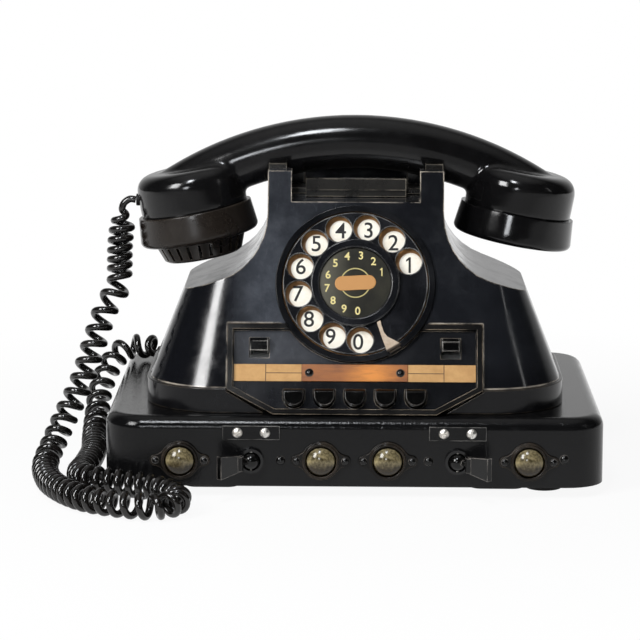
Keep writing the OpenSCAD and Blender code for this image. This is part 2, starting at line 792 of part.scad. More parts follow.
module cradle_fork() color("#1a1917") set_down() {
    fork_d = channel_d - 2 * run_gap;
    bar_x = notch_x - 7.1;
    plate_y = body_y - fork_d / 2 + fork_plate_back;
    difference() {
        union() {
            translate([-fork_half, plate_y, fork_z]) cube([2 * fork_half, fork_d - fork_plate_back, fork_t]);
            translate([-bar_x, body_y - fork_d / 2, fork_z]) cube([2 * bar_x, fork_d / 2, fork_t]);
            translate([-bar_x, body_y - fork_d / 2, fork_z]) cube([2 * bar_x, fork_bar_t, fork_bar_h]);
            for (s = [-1, 1]) translate([s * (ear_in_x + fork_half) / 2, body_y, (fork_z + ear_top_z) / 2])
                cube([fork_half - ear_in_x, fork_d, ear_top_z - fork_z], center = true);
        }
        translate([-notch_x, body_y - fork_d / 2 - 1, fork_z - 1])
            cube([2 * notch_x, fork_set_back + 1, fork_lip_h + 1]);
        handle_bar(run_gap, fork_cut_angle);
    }
    for (s = [-1, 1]) translate([s * plunger_x, body_y, fork_z - plunger_l])
        cylinder(r = plunger_r, h = plunger_l + eps);
}

switch_w = 18;
switch_d = 16;
leaf_t = 0.6;
leaf_step = 2.5;
leaf_reach = 14;

// Block under the notch with two spring leaves below each plunger
module hook_switch() color("#8a6a4a") set_down() {
    leaf_z = fork_z - plunger_l - leaf_t - run_gap;
    low_z = leaf_z - 2 * leaf_step;
    translate([-switch_w / 2, body_y - switch_d / 2, low_z])
        cube([switch_w, switch_d, notch_z - shell_wall - low_z]);
    for (k = [0:1]) translate([-switch_w / 2 - leaf_reach, body_y - switch_d / 4, leaf_z - k * leaf_step])
        cube([switch_w + 2 * leaf_reach, switch_d / 2, leaf_t]);
}

// Bell

gong_r = 25;
gong_x = 29.5;
gong_y = body_y + 18;
gong_z = base_top_z + 30;
gong_wall = 1.6;
gong_rise = 13;
gong_round_r = gong_r + 3;
gong_post_r = 4;
gong_post_over = 2;
clapper_l = 28;
clapper_drop = 10;
clapper_rod_r = 1;
clapper_hub_r = 4;
clapper_hub_h = 5;
ball_r_clapper = 2.6;
ringer_foot_w = 48;
ringer_foot_d = 12;
ringer_foot_t = 3;
ringer_coil_x = 14;
ringer_coil_r = 7;
ringer_coil_h = 8;
ringer_pin_r = 1.5;
ringer_pin_h = 26;
chassis_z = base_top_z + chassis_t;

module bell_gongs() color("#b8b2a4") set_down() {
    for (s = [-1, 1]) translate([s * gong_x, gong_y, 0]) {
        translate([0, 0, gong_z - gong_rise]) difference() {
            intersection() {
                translate([0, 0, gong_rise - gong_r]) sphere(gong_round_r, $fn = 64);
                cylinder(r = gong_r, h = gong_r);
            }
            intersection() {
                translate([0, 0, gong_rise - gong_r - gong_wall]) sphere(gong_round_r, $fn = 64);
                translate([0, 0, -1]) cylinder(r = gong_r - gong_wall, h = gong_r);
            }
        }
        translate([0, 0, chassis_z]) cylinder(r = gong_post_r, h = gong_z - chassis_z + gong_post_over);
    }
}

module ringer_coils() color("#7a3020") set_down() {
    translate([0, gong_y + clapper_l, chassis_z]) {
        translate([-ringer_foot_w / 2, -ringer_foot_d / 2, 0])
            cube([ringer_foot_w, ringer_foot_d, ringer_foot_t]);
        for (s = [-1, 1]) translate([s * ringer_coil_x, 0, ringer_foot_t - eps])
            cylinder(r = ringer_coil_r, h = ringer_coil_h);
        cylinder(r = ringer_pin_r, h = ringer_pin_h);
    }
}

module bell_clapper() color(brass) set_down() {
    translate([0, gong_y, gong_z - clapper_drop]) {
        sphere(ball_r_clapper);
        rotate([-90, 0, 0]) cylinder(r = clapper_rod_r, h = clapper_l - clapper_hub_r + 1);
        translate([0, clapper_l, 0]) difference() {
            cylinder(r = clapper_hub_r, h = clapper_hub_h, center = true);
            cylinder(r = ringer_pin_r + bearing_gap, h = clapper_hub_h + 1, center = true);
        }
    }
}

coil_x = -70;
coil_y = 5;
coil_foot_w = 28;
coil_foot_l = 40;
coil_foot_t = 4;
coil_cheek_t = 4;
coil_cheek_h = 22;
coil_r = 9;
coil_mid_z = 16;

module induction_coil() color("#5a4630") set_down() {
    translate([coil_x, body_y + coil_y, chassis_z]) {
        translate([-coil_foot_w / 2, -coil_foot_l / 2, 0]) cube([coil_foot_w, coil_foot_l, coil_foot_t]);
        for (s = [-1, 1]) translate([0, s * (coil_foot_l - coil_cheek_t) / 2, coil_foot_t - eps])
            translate([-coil_foot_w / 2, -coil_cheek_t / 2, 0])
            cube([coil_foot_w, coil_cheek_t, coil_cheek_h]);
        translate([0, coil_cheek_t - coil_foot_l / 2 - eps, coil_mid_z]) rotate([-90, 0, 0])
            cylinder(r = coil_r, h = coil_foot_l - 2 * coil_cheek_t + 2 * eps);
    }
}

// Dial

dial_back_z = -10;
dial_back_t = 2;
number_z = -1.5;
number_t = 1;
gear_module = 1;
gear_z = -22;
gear_t = 4;
mesh_gap = 0.4;
gear_distance = gear_module * (gear_teeth + pinion_teeth) / 2 + mesh_gap;
governor_angle = 200;
governor_r = 1.5;

module dial_case() color("#1d1e22") set_down() {
    inner_r = wheel_r + 0.7;
    on_dial() difference() {
        translate([0, 0, dial_back_z]) cylinder(r = dial_ring_r, h = wheel_t - 0.6 - dial_back_z);
        translate([0, 0, number_z - number_t]) cylinder(r = inner_r, h = 20);
        translate([0, 0, dial_back_z + dial_back_t]) cylinder(r = inner_r - 3, h = 20);
        translate([0, 0, dial_back_z - 1]) cylinder(r = arbor_r + bearing_gap, h = 20);
        rotate([0, 0, governor_angle]) translate([gear_distance, 0, dial_back_z - 1])
            cylinder(r = governor_r + bearing_gap, h = 20);
    }
}

module number_plate() color("#e6dcc0") set_down() {
    on_dial() translate([0, 0, number_z - number_t]) difference() {
        cylinder(r = wheel_r + 0.7 - seat_gap, h = number_t);
        translate([0, 0, -1]) cylinder(r = arbor_r + 1, h = 3);
    }
}

module finger_wheel() color("#141518") set_down() {
    on_dial() difference() {
        cylinder(r = wheel_r, h = wheel_t);
        translate([0, 0, -1]) cylinder(r = arbor_r + seat_gap / 2, h = wheel_t + 2);
        for (i = [0:9]) rotate([0, 0, hole_start + i * hole_step]) translate([hole_ring_r, 0, -1])
            cylinder(r = finger_hole_r, h = wheel_t + 2);
    }
}

card_t = 0.6;
card_ring_h = 2.2;

module card_ring() color("#101114") set_down() {
    on_dial() translate([0, 0, wheel_t]) difference() {
        cylinder(r = card_r + card_ring_w, h = card_ring_h);
        translate([0, 0, -1]) cylinder(r = card_r, h = card_ring_h + 2);
    }
}

module number_card() color("#3a3826") set_down() {
    on_dial() translate([0, 0, wheel_t]) cylinder(r = card_r - seat_gap, h = card_t);
}

stop_t = 1;
stop_gap = 0.6;

// Hook that reaches over the finger wheel and is fixed to the dial's ring
module finger_stop() color("#b89a74") set_down() {
    tip_r = card_r + card_ring_w + 0.5;
    stop_end_r = dial_ring_r - 1.6;
    low_z = wheel_t + stop_gap;
    foot_z = wheel_t - 0.6;
    on_dial() rotate([0, 0, stop_angle]) {
        translate([0, 0, low_z]) linear_extrude(stop_t)
            polygon([[tip_r, -1.2], [0.8 * wheel_r, -2.6], [stop_end_r, -4.5], [stop_end_r, 3.9],
                [0.95 * wheel_r, 1.4], [0.88 * wheel_r, -0.3], [0.8 * wheel_r, -0.7], [0.7 * wheel_r, 0.1],
                [tip_r, 0.9]]);
        translate([wheel_r + 0.9, -3.4, foot_z]) cube([dial_ring_w - 0.6, 6.4, low_z - foot_z + eps]);
    }
}

// Outline of a gear with straight-sided teeth
module gear_outline(teeth) {
    pitch_r = gear_module * teeth / 2;
    step = 360 / teeth;
    polygon([for (i = [0:teeth - 1], c = [[-0.32, -1.15], [-0.13, 0.85], [0.13, 0.85], [0.32, -1.15]])
        (pitch_r + c[1] * gear_module) * [cos((i + c[0]) * step), sin((i + c[0]) * step)]]);
}

module dial_gear() color(brass) set_down() {
    on_dial() {
        translate([0, 0, gear_z]) linear_extrude(gear_t) gear_outline(gear_teeth);
        translate([0, 0, gear_z - 1]) cylinder(r = arbor_r, h = wheel_t - gear_z + 1);
    }
}

module governor() color("#c0a060") set_down() {
    turn = 180 + governor_angle - 360 / pinion_teeth / 2;
    mesh_turn = governor_angle * gear_teeth / pinion_teeth;
    on_dial() rotate([0, 0, governor_angle]) translate([gear_distance, 0, 0]) {
        rotate([0, 0, -governor_angle + turn + mesh_turn]) {
            translate([0, 0, gear_z - 1]) linear_extrude(gear_t + 2) gear_outline(pinion_teeth);
            translate([0, 0, gear_z - 8])
                cylinder(r = governor_r, h = dial_back_z - gear_z + 8 + dial_back_t);
            translate([-9, -1.5, gear_z - 7]) cube([18, 3, 3]);
            for (s = [-1, 1]) translate([s * 7.5, 0, gear_z - 7]) cylinder(r = 2.4, h = 3);
        }
    }
}

// Handset

cup_round = 8.5;
capsule_r = 24.5;
cup_bore_r = 25;
spigot_r = 27.6;
spigot_l = 8;
cap_flare = 1.4;
cap_floor = 3.5;
cap_bore_r = spigot_r + 0.3;
cup_seam_z = seam_z + cup_seam_h;
grille_h = 10;
grille_r = 24.3;

// Stands on the seam of a cup, z along the cup's axis, side -1 for the left cup
module on_cup(side) {
    translate([side * cup_x, body_y, cup_seam_z]) rotate([0, side * cup_tilt, 0]) children();
}

module cup_form() {
    cylinder(r = cup_r, h = cup_h - cup_round);
    cylinder(r = cup_r - cup_round, h = cup_h);
    translate([0, 0, cup_h - cup_round]) rotate_extrude() translate([cup_r - cup_round, 0])
        circle(cup_round);
    translate([0, 0, -spigot_l]) cylinder(r = spigot_r, h = spigot_l + 1);
}

handle_half_angle = 36;

below_cup = 60;
cap_room = 6;

module handset_handle() color(black) set_down() {
    difference() {
        union() {
            handle_bar(0, handle_half_angle);
            for (s = [-1, 1]) on_cup(s) cup_form();
        }
        for (s = [-1, 1]) on_cup(s) translate([0, 0, -spigot_l - 1])
            cylinder(r = cup_bore_r, h = spigot_l + cup_h - 4);
        for (s = [-1, 1]) on_cup(s) translate([0, 0, -below_cup])
            cylinder(r = cap_r + cap_room, h = below_cup - spigot_l);
        for (s = [-1, 1]) on_cup(s) translate([0, 0, -spigot_l - 1]) difference() {
            cylinder(r = cap_r + 6, h = spigot_l + 1);
            translate([0, 0, -1]) cylinder(r = spigot_r, h = spigot_l + 3);
        }
        on_cup(-1) handset_gland_place() translate([0, 0, -12])
            cylinder(r = handset_gland_r + seat_gap, h = 20);
    }
}

// Outer shell of a cap, below the seam
module cap_form() {
    edge = 3;
    difference() {
        rotate_extrude() polygon(concat([[0, 0], [0, -cap_h], [cap_r + cap_flare - edge, -cap_h]],
            [for (a = [-75:15:0]) [cap_r + cap_flare - edge + edge * cos(a),
                -cap_h + edge + edge * sin(a)]],
            [[cap_r, 0]]));
        translate([0, 0, -cap_h + cap_floor]) cylinder(r = cap_bore_r, h = cap_h);
    }
}

module mouthpiece_cap() color("#1a1613") set_down() {
    on_cup(-1) translate([0, 0, -seat_gap]) difference() {
        cap_form();
        translate([0, 0, -cap_h - 1]) cylinder(r = grille_r - 2.5, h = cap_floor + 2);
    }
}

grille_slots = 24;

module mouthpiece_grille() color("#121212") set_down() {
    on_cup(-1) translate([0, 0, -seat_gap - cap_h]) difference() {
        union() {
            rotate_extrude()
                polygon([[0, -grille_h], [grille_r - 5, -grille_h], [grille_r - 3.4, -grille_h + 1],
                [grille_r, 0], [0, 0]]);
            cylinder(r = grille_r - 2.5 - seat_gap, h = cap_floor);
        }
        rotate_extrude()
            polygon([[0, -grille_h + 2], [grille_r - 7, -grille_h + 2], [grille_r - 5, cap_floor + 1],
            [0, cap_floor + 1]]);
        for (i = [0:grille_slots - 1]) rotate([0, 0, i * 360 / grille_slots])
            translate([grille_r - 8, -0.8, -grille_h + 1.6]) cube([12, 1.6, grille_h - 3]);
    }
}

module earpiece_cap() color("#141313") set_down() {
    on_cup(1) translate([0, 0, -seat_gap]) difference() {
        cap_form();
        for (i = [0:5]) rotate([0, 0, i * 60]) translate([8, 0, -cap_h - 1])
            cylinder(r = 1.6, h = cap_floor + 2);
        translate([0, 0, -cap_h - 1]) cylinder(r = 1.6, h = cap_floor + 2);
    }
}

module capsule(side) {
    on_cup(side) {
        translate([0, 0, -cap_h + cap_floor]) cylinder(r = capsule_r, h = 7);
        translate([0, 0, -cap_h + cap_floor + 7 - eps]) cylinder(r = 14, h = 10);
    }
}

module transmitter_capsule() color(metal) set_down() { capsule(-1); }

module receiver_capsule() color("#8d8f92") set_down() { capsule(1); }

handset_gland_r = 3.2;
handset_gland_h = 4;
handset_gland_reach = 2;

// Faces out of the left cup's outer side, level
module handset_gland_place() {
    rotate([0, cup_tilt, 0]) translate([-cup_r / cos(cup_tilt), 0, handset_gland_h]) rotate([0, -90, 0])
        children();
}

module handset_gland() color("#101010") set_down() {
    on_cup(-1) handset_gland_place() translate([0, 0, -5])
        cylinder(r = handset_gland_r, h = 5 + handset_gland_reach);
}

// Curly cord: x, y and z of the route, and the pitch of the curls there.
// These points count y from the origin under the telephone.
cord_route = [
    [-117.4, -9.5, 143.5, 12], [-121, -9.5, 143.6, 12], [-124.4, -9.5, 140, 10], [-124.6, -9.5, 131, 6],
    [-125.8, -11, 119, 5], [-126, -12, 106, 5.4], [-126.8, -14, 97, 11], [-133, -18, 86, 10],
    [-139, -24, 68, 9], [-145, -30, 49, 9], [-152.4, -36, 33, 8], [-158.6, -46, 19, 7],
    [-162, -60, 10, 6.5], [-159, -80, 7.5, 6], [-153, -100, 7.5, 6], [-143, -119, 7.5, 6.5],
    [-131, -132.5, 7.5, 7], [-116, -141.5, 7.5, 7.5], [-101, -146, 7.5, 7.5], [-91, -140, 7.5, 7.5],
    [-88.6, -127.5, 7.5, 7.5], [-95, -115, 8, 6.5], [-106, -107.5, 9, 5.8], [-121, -102, 10, 5.8],
    [-135, -94, 10, 6.5], [-142.5, -76, 8.5, 6.5], [-141.5, -50, 7.5, 6], [-140.5, -15, 7.5, 6.2],
    [-142.5, 15, 9, 7], [-143, 36, 16, 8.5], [-142, 52, 28, 9], [-137.5, 63, 40, 9],
    [-130, 70, 48, 9], [-119, 70, 50, 9], [-110, 62.6, 49.4, 9], [-105.6, 58.2, 49, 10],
    [-101.6, 54.2, 49, 10]
];
curl_rings = 8;
cord_sides = 6;
plain_ends = 9;
easing = 10;
fine_steps = 10;

function unit(v) = v / norm(v);
function xyz(p) = [p[0], p[1], p[2]];
function on_route(i, t) =
    let (n = len(cord_route) - 1, a = cord_route[max(i - 1, 0)], b = cord_route[i],
        c = cord_route[min(i + 1, n)], d = cord_route[min(i + 2, n)])
    0.5 * (2 * b + (c - a) * t + (2 * a - 5 * b + 4 * c - d) * t * t + (3 * b - a - 3 * c + d) * t * t * t);
function route_at(u) = let (i = min(floor(u), len(cord_route) - 2)) on_route(i, u - i);

fine = [for (k = [0:(len(cord_route) - 1) * fine_steps]) k / fine_steps];
fine_points = [for (u = fine) route_at(u)];
steps_mm = [for (k = [1:len(fine) - 1]) norm(xyz(fine_points[k]) - xyz(fine_points[k - 1]))];
run_mm = [for (k = 0, s = 0; k < len(fine); s = s + (k < len(steps_mm) ? steps_mm[k] : 0), k = k + 1) s];
turns_at = [for (k = 0, s = 0; k < len(fine);
    s = s + (k < len(steps_mm) ? steps_mm[k] / fine_points[k][3] : 0), k = k + 1) s];
run_total = run_mm[len(run_mm) - 1];
turns_total = turns_at[len(turns_at) - 1];
ring_count = floor(turns_total * curl_rings);
u_of_turn = [for (k = [0:len(fine) - 1]) [turns_at[k], fine[k]]];
mm_of_u = [for (k = [0:len(fine) - 1]) [fine[k], run_mm[k]]];
ring_u = [for (k = [0:ring_count]) lookup(k * turns_total / ring_count, u_of_turn)];
axis_points = [for (u = ring_u) xyz(route_at(u))];
axis_dirs = [for (u = ring_u)
    unit(xyz(route_at(min(u + 0.02, len(cord_route) - 1))) - xyz(route_at(max(u - 0.02, 0))))];
function carry(v, t) = unit(v - (v * t) * t);
side_dirs = [for (k = 0, v = carry([0, 1, 0], axis_dirs[0]); k <= ring_count;
    k = k + 1, v = k <= ring_count ? carry(v, axis_dirs[k]) : v) v];
function ease(s) = let (t = min(1, max(0, (s - plain_ends) / easing))) t * t * (3 - 2 * t);
function curl_at(u) = let (s = lookup(u, mm_of_u)) curl_r * ease(s) * ease(run_total - s);
wire = [for (k = [0:ring_count])
    let (a = 360 * k * turns_total / ring_count, v = side_dirs[k], w = cross(axis_dirs[k], v))
    axis_points[k] + curl_at(ring_u[k]) * (cos(a) * v + sin(a) * w)];
wire_dirs = [for (k = [0:ring_count]) unit(wire[min(k + 1, ring_count)] - wire[max(k - 1, 0)])];
wire_sides = [for (k = 0, v = carry([0, 1, 0], wire_dirs[0]); k <= ring_count;
    k = k + 1, v = k <= ring_count ? carry(v, wire_dirs[k]) : v) v];
wire_length = [for (k = 0, s = 0; k <= ring_count;
    s = s + (k < ring_count ? norm(wire[k + 1] - wire[k]) : 0), k = k + 1) s][ring_count];

// Least clear distance between stretches of the cord that are over half a curl apart
function least_gap() = min([for (i = [0:ring_count - 6]) min([for (j = [i + 6:ring_count])
    let (d = wire[i] - wire[j]) abs(d[0]) + abs(d[2]) > 30 ? 30 : norm(d)])]) - cord_d;

function ring_point(k, j) = k * cord_sides + j % cord_sides;

module handset_cord() color("#0f0f10") {
    echo(cord_length = wire_length, curls = turns_total, least_gap = least_gap(),
        lowest = min([for (p = wire) p[2]]) - cord_d / 2);
    ring_points = [for (k = [0:ring_count], j = [0:cord_sides - 1])
        let (a = j * 360 / cord_sides, v = wire_sides[k], w = cross(wire_dirs[k], v))
        wire[k] + cord_d / 2 * (cos(a) * v + sin(a) * w)];
    walls = [for (k = [0:ring_count - 1], j = [0:cord_sides - 1], f = [
        [ring_point(k, j), ring_point(k + 1, j), ring_point(k + 1, j + 1)],
            [ring_point(k, j), ring_point(k + 1, j + 1), ring_point(k, j + 1)]]) f];
    first = [for (j = [1:cord_sides - 2]) [ring_point(0, 0), ring_point(0, j), ring_point(0, j + 1)]];
    last = [for (j = [1:cord_sides - 2]) [ring_point(ring_count, 0), ring_point(ring_count, j + 1),
        ring_point(ring_count, j)]];
    polyhedron(ring_points, concat(walls, first, last));
}

base_housing();
bottom_plate();
rubber_feet();
lamp_bezels();
for (i = [0:3]) lamp_lens(i);
lamp_holders();
lamp_bulbs();
black_screws();
key_plate(-key_x);  // key_plate_left
key_plate(key_x);  // key_plate_right
nickel_screws();
key_boss(-key_x);  // key_boss_left
key_boss(key_x);  // key_boss_right
key_lever(-1);  // key_lever_left
key_lever(1);  // key_lever_right
key_frames();
key_pivot_pins();
line_cable_gland();
terminal_strip();
body_plinth();
body_shell();
chassis_plate();
panel_frame();
panel_plate();
label_papers();
label_plate();
for (i = [0:4]) line_button(i);
call_key(-1);  // call_key_left
call_key(1);  // call_key_right
button_frame();
cradle_fork();
hook_switch();
bell_gongs();
ringer_coils();
bell_clapper();
induction_coil();
body_cord_gland();
dial_case();
number_plate();
finger_wheel();
card_ring();
number_card();
finger_stop();
dial_gear();
governor();
handset_handle();
mouthpiece_cap();
mouthpiece_grille();
earpiece_cap();
transmitter_capsule();
receiver_capsule();
handset_gland();
handset_cord();
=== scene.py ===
# %% [markdown]
# # A desk telephone with a dial, line keys and a lamp box
# The measured solids come in as a fixed frame: every piece is already in its place and rides on
# its own moving body. This lesson dresses them, from the camera and the curly cord to the finishes.

# %% Load the frame
import math
import bmesh
import bpy
import numpy as np
from mathutils import Matrix, Vector


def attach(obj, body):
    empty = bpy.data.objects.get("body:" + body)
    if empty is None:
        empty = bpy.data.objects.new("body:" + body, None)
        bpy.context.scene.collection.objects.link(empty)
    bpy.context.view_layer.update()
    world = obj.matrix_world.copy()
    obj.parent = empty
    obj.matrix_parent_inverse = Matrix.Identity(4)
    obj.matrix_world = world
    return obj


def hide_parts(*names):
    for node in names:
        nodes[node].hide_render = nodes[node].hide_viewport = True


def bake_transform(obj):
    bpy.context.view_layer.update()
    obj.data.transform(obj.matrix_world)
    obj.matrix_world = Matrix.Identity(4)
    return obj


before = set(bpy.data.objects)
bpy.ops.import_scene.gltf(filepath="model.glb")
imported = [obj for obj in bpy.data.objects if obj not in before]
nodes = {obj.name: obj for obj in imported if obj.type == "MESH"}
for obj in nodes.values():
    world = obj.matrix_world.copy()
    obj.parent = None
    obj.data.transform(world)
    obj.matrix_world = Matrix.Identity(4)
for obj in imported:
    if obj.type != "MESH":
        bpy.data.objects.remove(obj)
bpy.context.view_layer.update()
scene = bpy.context.scene
scene.view_settings.view_transform = "Standard"
MM = 0.001
print("pieces in the frame:", len(nodes))

# %% [markdown]
# ## Camera
# The picture was taken from the front with a long lens, a little above the telephone. The camera
# is turned by three small angles, which a fit to the measured edges gave.

# %% Camera
PITCH, YAW, ROLL = (math.radians(a) for a in (9.64, -0.66, 0.24))
EYE = (0, -1.64645, 0.357)
FOCAL_PX, FRAME_PX, SENSOR = 3095, 640, 36
forward = Vector((math.sin(YAW) * math.cos(PITCH), math.cos(YAW) * math.cos(PITCH), -math.sin(PITCH)))
level = Vector((math.cos(YAW), -math.sin(YAW), 0))
upward = level.cross(forward)
right = level * math.cos(ROLL) + upward * math.sin(ROLL)
above = upward * math.cos(ROLL) - level * math.sin(ROLL)
lens = bpy.data.cameras.new("view")
lens.sensor_width = SENSOR
lens.lens = FOCAL_PX / FRAME_PX * SENSOR
camera = bpy.data.objects.new("view", lens)
camera.matrix_world = Matrix.Translation(EYE) @ Matrix((right, above, -forward)).transposed().to_4x4()
scene.collection.objects.link(camera)
scene.camera = camera
print("lens, mm:", round(lens.lens, 1))

# %% [markdown]
# ## Curly cord
# A handset cord is one long wire wound into curls, which then hangs and lies in a loose loop. The
# loop is a smooth line through a few points, each with the pitch of the curls there. The wire turns
# around that line, and a round tube is swept along the wire. A curve object with a bevel would be
# shorter to write; the cord here is a mesh.

# %% Cord: the line of the loop
# Each row is a point in millimetres, from the handset to the body, and the pitch of the curls there.
ROUTE = np.array([
    [-117.4, -9.5, 143.5, 12], [-121, -9.5, 143.6, 12], [-124.4, -9.5, 140, 10], [-124.6, -9.5, 131, 6],
    [-125.8, -11, 119, 5], [-126, -12, 106, 5.4], [-126.8, -14, 97, 11], [-133, -18, 86, 10],
    [-139, -24, 68, 9], [-145, -30, 49, 9], [-152.4, -36, 33, 8], [-158.6, -46, 19, 7],
    [-162, -60, 10, 6.5], [-159, -80, 7.5, 6], [-153, -100, 7.5, 6], [-143, -119, 7.5, 6.5],
    [-131, -132.5, 7.5, 7], [-116, -141.5, 7.5, 7.5], [-101, -146, 7.5, 7.5], [-91, -140, 7.5, 7.5],
    [-88.6, -127.5, 7.5, 7.5], [-95, -115, 8, 6.5], [-106, -107.5, 9, 5.8], [-121, -102, 10, 5.8],
    [-135, -94, 10, 6.5], [-142.5, -76, 8.5, 6.5], [-141.5, -50, 7.5, 6], [-140.5, -15, 7.5, 6.2],
    [-142.5, 15, 9, 7], [-143, 36, 16, 8.5], [-142, 52, 28, 9], [-137.5, 63, 40, 9],
    [-130, 70, 48, 9], [-119, 70, 50, 9], [-110, 62.6, 49.4, 9], [-105.6, 58.2, 49, 10],
    [-101.6, 54.2, 49, 10]])
CORD_D, CURL_R = 3.8, 5.2
PLAIN_END, EASING, FINE = 9, 10, 10
LAST = len(ROUTE) - 1


def route_at(u):
    """Point and pitch at u along the loop, on a smooth line through the points."""
    i = min(int(u), LAST - 1)
    t = u - i
    a, b, c, d = ROUTE[max(i - 1, 0)], ROUTE[i], ROUTE[i + 1], ROUTE[min(i + 2, LAST)]
    return 0.5 * (2 * b + (c - a) * t + (2 * a - 5 * b + 4 * c - d) * t * t + (3 * b - a - 3 * c + d) * t ** 3)


fine_u = np.arange(LAST * FINE + 1) / FINE
fine = np.array([route_at(u) for u in fine_u])
steps = np.linalg.norm(np.diff(fine[:, :3], axis=0), axis=1)
run = np.concatenate([[0], np.cumsum(steps)])
turns = np.concatenate([[0], np.cumsum(steps / fine[:-1, 3])])
print("length of the loop, mm:", round(run[-1]), "curls:", round(turns[-1], 1))

# %% Cord: the wire and its tube
RINGS, SIDES, AHEAD = 24, 12, 0.02


def unit(v):
    return v / np.linalg.norm(v)


def carried_sides(directions):
    """A side direction at each point, carried along the line without twisting."""
    side, sides = np.array([0.0, 1.0, 0.0]), []
    for d in directions:
        side = unit(side - (side @ d) * d)
        sides.append(side)
    return np.array(sides)


def ease(s):
    """0 on the plain end of the wire, 1 where the curls have their full width."""
    t = np.clip((s - PLAIN_END) / EASING, 0, 1)
    return t * t * (3 - 2 * t)


def direction_at(u):
    """Direction of the loop at u."""
    return unit((route_at(min(u + AHEAD, LAST)) - route_at(max(u - AHEAD, 0)))[:3])


def walls(rings, count):
    """Faces between rings of count points each."""
    return [(k * count + j, k * count + (j + 1) % count, (k + 1) * count + (j + 1) % count, (k + 1) * count + j)
            for k in range(rings - 1) for j in range(count)]


def caps(rings, count):
    """The two end faces of a stack of rings."""
    return [tuple(reversed(range(count))), tuple((rings - 1) * count + j for j in range(count))]


def new_piece(name, verts, polygons, smooth=True):
    """A mesh object from points in metres."""
    mesh = bpy.data.meshes.new(name)
    mesh.from_pydata([tuple(v) for v in verts], [], polygons)
    mesh.polygons.foreach_set("use_smooth", [smooth] * len(mesh.polygons))
    piece = bpy.data.objects.new(name, mesh)
    scene.collection.objects.link(piece)
    return piece


ring_turn = np.linspace(0, turns[-1], int(turns[-1] * RINGS) + 1)
ring_u = np.interp(ring_turn, turns, fine_u)
middle = np.array([route_at(u)[:3] for u in ring_u])
along = np.array([direction_at(u) for u in ring_u])
side = carried_sides(along)
cross = np.cross(along, side)
ring_run = np.interp(ring_u, fine_u, run)
curl = (CURL_R * ease(ring_run) * ease(run[-1] - ring_run))[:, None]
angle = (2 * np.pi * ring_turn)[:, None]
wire = middle + curl * (np.cos(angle) * side + np.sin(angle) * cross)
wire_dir = np.gradient(wire, axis=0)
wire_dir /= np.linalg.norm(wire_dir, axis=1)[:, None]
wire_side = carried_sides(wire_dir)
wire_cross = np.cross(wire_dir, wire_side)
around = 2 * np.pi * np.arange(SIDES) / SIDES
skin = wire[:, None] + CORD_D / 2 * (np.cos(around)[None, :, None] * wire_side[:, None]
                                     + np.sin(around)[None, :, None] * wire_cross[:, None])
cord = new_piece("curly_cord", skin.reshape(-1, 3) * MM, walls(len(wire), SIDES) + caps(len(wire), SIDES))
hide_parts("handset_cord")
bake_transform(cord)

# %% [markdown]
# ## Tools for finishes
# Old black mouldings are never one flat colour: edges are rubbed, faces carry haze and fine
# scratches, and paint has a grain. The edge mask also carries pale edge lines that are painted
# highlights. Each of these is one node group, used by many materials with its own values. The groups
# only give masks and heights, and the shader stays in each material.

# %% Node helpers


def put(tree, kind, inputs=None, **settings):
    """Adds a shader node, sets its settings, and sets or links its inputs."""
    node = tree.nodes.new("ShaderNode" + kind)
    for key, value in settings.items():
        setattr(node, key, value)
    for key, value in (inputs or {}).items():
        if isinstance(value, bpy.types.NodeSocket):
            tree.links.new(value, node.inputs[key])
        else:
            node.inputs[key].default_value = value
    return node


def new_group(name, inputs, outputs):
    """An empty node group with named number inputs and outputs."""
    tree = bpy.data.node_groups.new(name, "ShaderNodeTree")
    for label, value in inputs.items():
        tree.interface.new_socket(label, in_out="INPUT", socket_type="NodeSocketFloat").default_value = value
    for label in outputs:
        tree.interface.new_socket(label, in_out="OUTPUT", socket_type="NodeSocketFloat")
    return tree, tree.nodes.new("NodeGroupInput").outputs, tree.nodes.new("NodeGroupOutput").inputs


def use(tree, group, **values):
    """Places a group in a material."""
    node = tree.nodes.new("ShaderNodeGroup")
    node.node_tree = group
    for label, value in values.items():
        node.inputs[label.replace("_", " ")].default_value = value
    return node.outputs


def new_material(name, rough=0.5, coat=0.0, specular=0.5):
    """A material, its node tree and its shader. The caller links a colour."""
    material = bpy.data.materials.new(name)
    material.use_nodes = True
    shader = material.node_tree.nodes["Principled BSDF"]
    shader.inputs["Roughness"].default_value = rough
    shader.inputs["Coat Weight"].default_value = coat
    shader.inputs["Specular IOR Level"].default_value = specular
    return material, material.node_tree, shader


def here(tree):
    """Place of the shaded point on its own object, in metres."""
    return put(tree, "TexCoord").outputs["Object"]


def axes(tree, place):
    """X, Y and Z of a place."""
    return put(tree, "SeparateXYZ", {0: place}).outputs


def distance(tree, place, point):
    return put(tree, "VectorMath", {0: place, 1: point}, operation="DISTANCE").outputs["Value"]


def noise(tree, scale, detail, rough=0.5, place=None):
    """Cloudy pattern from 0 to 1."""
    inputs = {"Scale": scale, "Detail": detail, "Roughness": rough}
    if place is not None:
        inputs["Vector"] = place
    return put(tree, "TexNoise", inputs).outputs["Fac"]


def ramp(tree, value, low, high, to_low=0.0, to_high=1.0):
    """Maps a value from low..high to to_low..to_high, held at the ends."""
    return put(tree, "MapRange", {"Value": value, "From Min": low, "From Max": high,
                                  "To Min": to_low, "To Max": to_high}).outputs["Result"]


def reckon(tree, operation, a, b=0.0):
    """One step of arithmetic on numbers or sockets."""
    return put(tree, "Math", {0: a, 1: b}, operation=operation).outputs[0]


def times(tree, a, b):
    return reckon(tree, "MULTIPLY", a, b)


